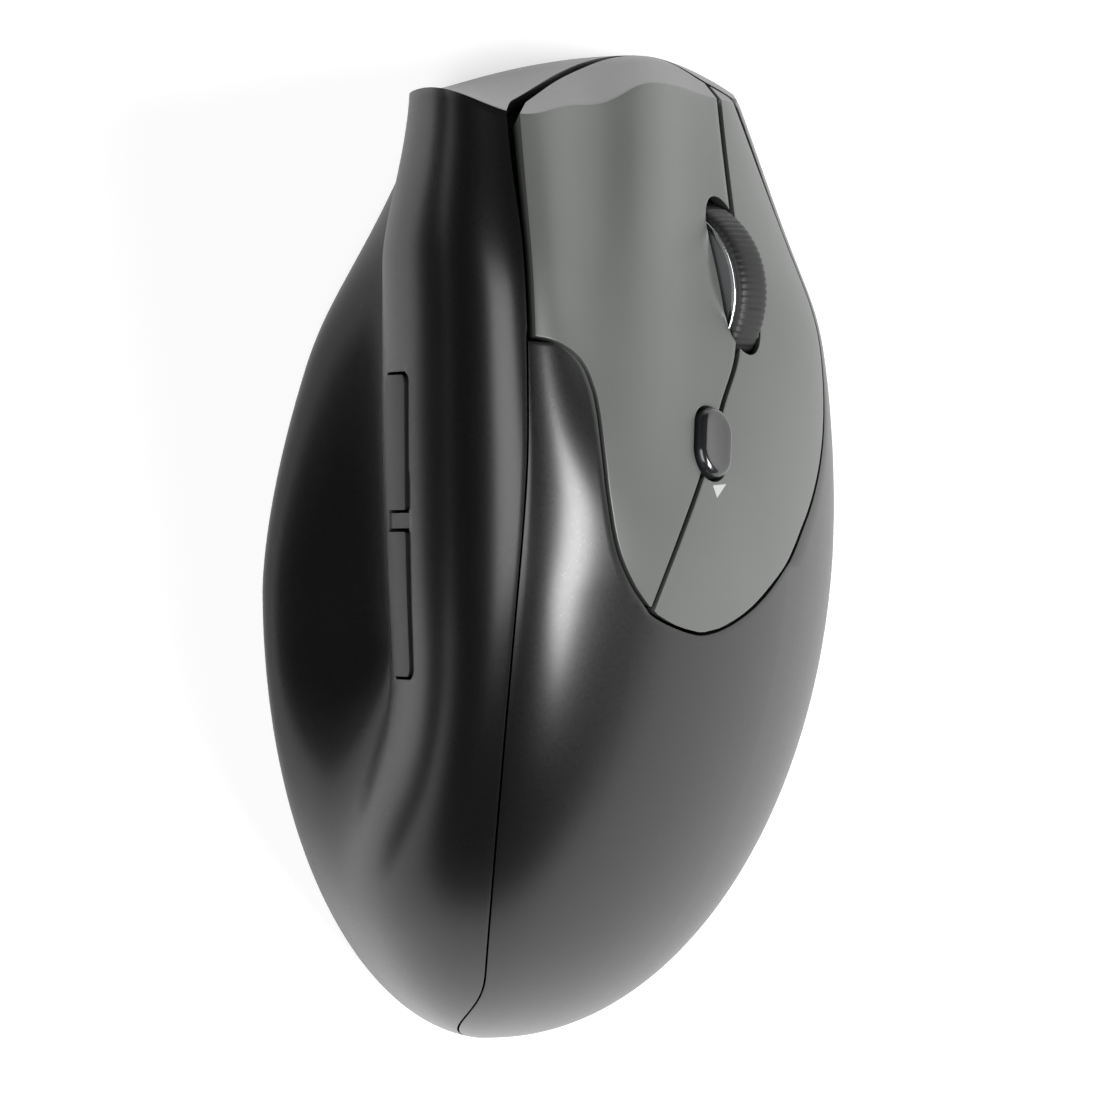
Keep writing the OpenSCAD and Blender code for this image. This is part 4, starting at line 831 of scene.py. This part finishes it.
# pieces that keep the part's shape and get rounded edges

roundedNodes = {
    "wheel_hub": ("wheelHub", 0.15), "wheel_rings": ("wheelRings", 0.1), "base_plate": ("basePlate", 0.25),
    "battery_door": ("batteryDoor", 0.2), "glide_feet": ("glideFeet", 0.3),
    "power_slider": ("powerSlider", 0.1), "base_screws": ("baseScrews", 0.1),
    "sensor_lens": ("sensorLens", 0.15),
}
bodyOf = {n: b for b, members in frame["record"]["behaviour"]["bodies"].items() for n in members}
slotOf = {row["node"]: row["material_slot"] for row in frame["record"]["subparts"]}
for node, (name, width) in roundedNodes.items():
    piece = bpy.data.objects.new(name, frame["nodes"][node].data.copy())
    bpy.context.scene.collection.objects.link(piece)
    makeActive(piece)
    bpy.ops.object.mode_set(mode="EDIT")
    bpy.ops.mesh.select_all(action="SELECT")
    bpy.ops.mesh.remove_doubles(threshold=0.002 * mm)
    bpy.ops.mesh.dissolve_limited(angle_limit=math.radians(1))
    bpy.ops.object.mode_set(mode="OBJECT")
    roundEdges(piece, width, 2, 40)
    smoothByAngle(piece, 40)
    applyModifier(piece, "WEIGHTED_NORMAL", keep_sharp=True, weight=90)  # keeps the flat faces flat
    finishPiece(piece, bodyOf[node], slotOf[node], finishes[slotOf[node]], node)
print("rounded copies:", len(roundedNodes))

# pale pointer mark on the right button

markForm = {"tip": (20.1, 6.1), "leftEnd": (19.6, 7.6), "rightEnd": (21.2, 7.75), "lift": 0.03, "rows": 10}
markMaterial = mouldedPlastic("markPale", (0.27, 0.28, 0.27), (0.30, 0.31, 0.30), 0.45, 2600.0, 0.03, 0.01)


def stationAt(x, yPlan):
    y = yPlan
    for _ in range(5):
        y = y + yPlan - float(bodyPoint(y, vAt(y, x))[1])
    return y


markRows = []
for i in range(markForm["rows"] + 1):
    t = i / markForm["rows"]
    row = []
    for j in range(markForm["rows"] + 1):
        along = j / markForm["rows"]
        base = np.array(markForm["leftEnd"]) * (1 - along) + np.array(markForm["rightEnd"]) * along
        x, yPlan = np.array(markForm["tip"]) * (1 - t) + base * t
        y = stationAt(x, yPlan)
        v = vAt(y, x)
        row.append(bodyPoint(y, v) + markForm["lift"] * bodyNormal(y, v))
    markRows.append(row)
markPiece = gridPiece("pointerMark", np.array(markRows))
thicken(markPiece, 0.12)
smoothByAngle(markPiece, 40)
finishPiece(markPiece, "right_button", "button_grey", markMaterial)
print("pointer mark done")

# stage, lights and camera

studio = {
    "floorTone": (0.7, 0.7, 0.7), "floorGlow": 0.4, "floorSize": 1.6,
    "shadeSheetFrom": (-0.5, -0.07), "shadeSheetTo": (-0.085, 0.12),  # painted shade: dark sheet on the left floor, seen only in reflections, standing in for the floor's shaded side
    "cameraHeight": 1.2, "frameWidth": 0.13477, "aim": (0.00006, 0.00025),
    "room": 0.04, "backdrop": 0.85,
    "lights": [
        # name, side tilt, fore tilt, distance, length along y, width, roll, radiance
        ("stripRight", 50, -16, 1.4, 1.15, 0.46, -16, 25.0),
        ("stripLeft", -22, -2, 1.7, 1.7, 1.1, 0, 5.0),
    ],
}
deselectAll()
bpy.ops.mesh.primitive_plane_add(size=studio["floorSize"])
floor = bpy.context.active_object
floor.name = "paleFloor"
floorMaterial, floorNodes, floorLinks, floorShader, floorCoord = newMaterial("paleFloor")
floorNoise = addNoise(floorNodes, floorLinks, floorCoord, 3.0)
floorRamp = addRamp(floorNodes, floorLinks, floorNoise.outputs["Fac"], studio["floorTone"],
                    tuple(c + 0.01 for c in studio["floorTone"]))
floorLinks.new(floorRamp.outputs["Color"], floorShader.inputs["Base Color"])
floorShader.inputs["Roughness"].default_value = 0.8
floorShader.inputs["Specular IOR Level"].default_value = 0.2
glow = floorNodes.new("ShaderNodeEmission")  # pale backing, for the eye only
glow.inputs["Strength"].default_value = studio["floorGlow"]
both = floorNodes.new("ShaderNodeAddShader")
floorSeen = floorNodes.new("ShaderNodeLightPath")
floorPick = floorNodes.new("ShaderNodeMixShader")
floorLinks.new(floorShader.outputs["BSDF"], both.inputs[0])
floorLinks.new(glow.outputs["Emission"], both.inputs[1])
floorLinks.new(floorSeen.outputs["Is Camera Ray"], floorPick.inputs["Fac"])
floorLinks.new(floorShader.outputs["BSDF"], floorPick.inputs[1])
floorLinks.new(both.outputs["Shader"], floorPick.inputs[2])
floorLinks.new(floorPick.outputs["Shader"], floorNodes["Material Output"].inputs["Surface"])
floor.data.materials.append(floorMaterial)

# painted shade: a dark sheet on the floor at the left, hidden from the camera, from diffuse light and from
# shadows, so only glossy reflections show it, as the shaded floor on that side
(leftX, backY), (rightX, foreY) = studio["shadeSheetFrom"], studio["shadeSheetTo"]
deselectAll()
bpy.ops.mesh.primitive_plane_add(size=1, location=((leftX + rightX) / 2, (backY + foreY) / 2, 0.0005))
shadeSheet = bpy.context.active_object
shadeSheet.name = "shadeSheet"
shadeSheet.scale = (rightX - leftX, foreY - backY, 1)
bpy.ops.object.transform_apply(location=False, rotation=False, scale=True)
shadeSheet.visible_camera = shadeSheet.visible_diffuse = shadeSheet.visible_shadow = shadeSheet.visible_transmission = False
shadeSheetShader = newMaterial("shadeSheetBlack")[3]
shadeSheetShader.inputs["Base Color"].default_value = (0.01, 0.01, 0.01, 1)
shadeSheetShader.inputs["Roughness"].default_value = 0.9
shadeSheet.data.materials.append(bpy.data.materials["shadeSheetBlack"])

for name, side, fore, distance, length, width, roll, radiance in studio["lights"]:
    side, fore = math.radians(side), math.radians(fore)
    away = Vector((math.sin(side) * math.cos(fore), math.sin(fore), math.cos(side) * math.cos(fore)))
    deselectAll()
    bpy.ops.object.light_add(type="AREA", location=away * distance + Vector((0, 0, 0.05)))
    light = bpy.context.active_object
    light.name = name
    light.data.shape = "RECTANGLE"
    light.data.size = length
    light.data.size_y = width
    light.data.energy = radiance * math.pi * length * width
    aimed = (-away).to_track_quat("-Z", "Y").to_matrix()
    light.rotation_euler = (aimed @ Matrix.Rotation(math.radians(roll), 3, "Z")).to_euler()

world = bpy.data.worlds.new("paleRoom")
bpy.context.scene.world = world
world.use_nodes = True
worldNodes, worldLinks = world.node_tree.nodes, world.node_tree.links
worldNodes["Background"].inputs["Color"].default_value = (1, 1, 1, 1)
worldNodes["Background"].inputs["Strength"].default_value = studio["room"]
backdrop = worldNodes.new("ShaderNodeBackground")
backdrop.inputs["Strength"].default_value = studio["backdrop"]
seen = worldNodes.new("ShaderNodeLightPath")
choose = worldNodes.new("ShaderNodeMixShader")
worldLinks.new(seen.outputs["Is Camera Ray"], choose.inputs["Fac"])
worldLinks.new(worldNodes["Background"].outputs["Background"], choose.inputs[1])
worldLinks.new(backdrop.outputs["Background"], choose.inputs[2])
worldLinks.new(choose.outputs["Shader"], worldNodes["World Output"].inputs["Surface"])

deselectAll()
bpy.ops.object.camera_add(location=(*studio["aim"], studio["cameraHeight"]), rotation=(0, 0, 0))
camera = bpy.context.active_object
camera.data.sensor_width = 36
camera.data.lens = 36 * studio["cameraHeight"] / studio["frameWidth"]
camera.data.clip_start = 0.05
camera.data.clip_end = 50
bpy.context.scene.camera = camera
bpy.context.scene.view_settings.view_transform = "Standard"
print("stage, lights and camera done")
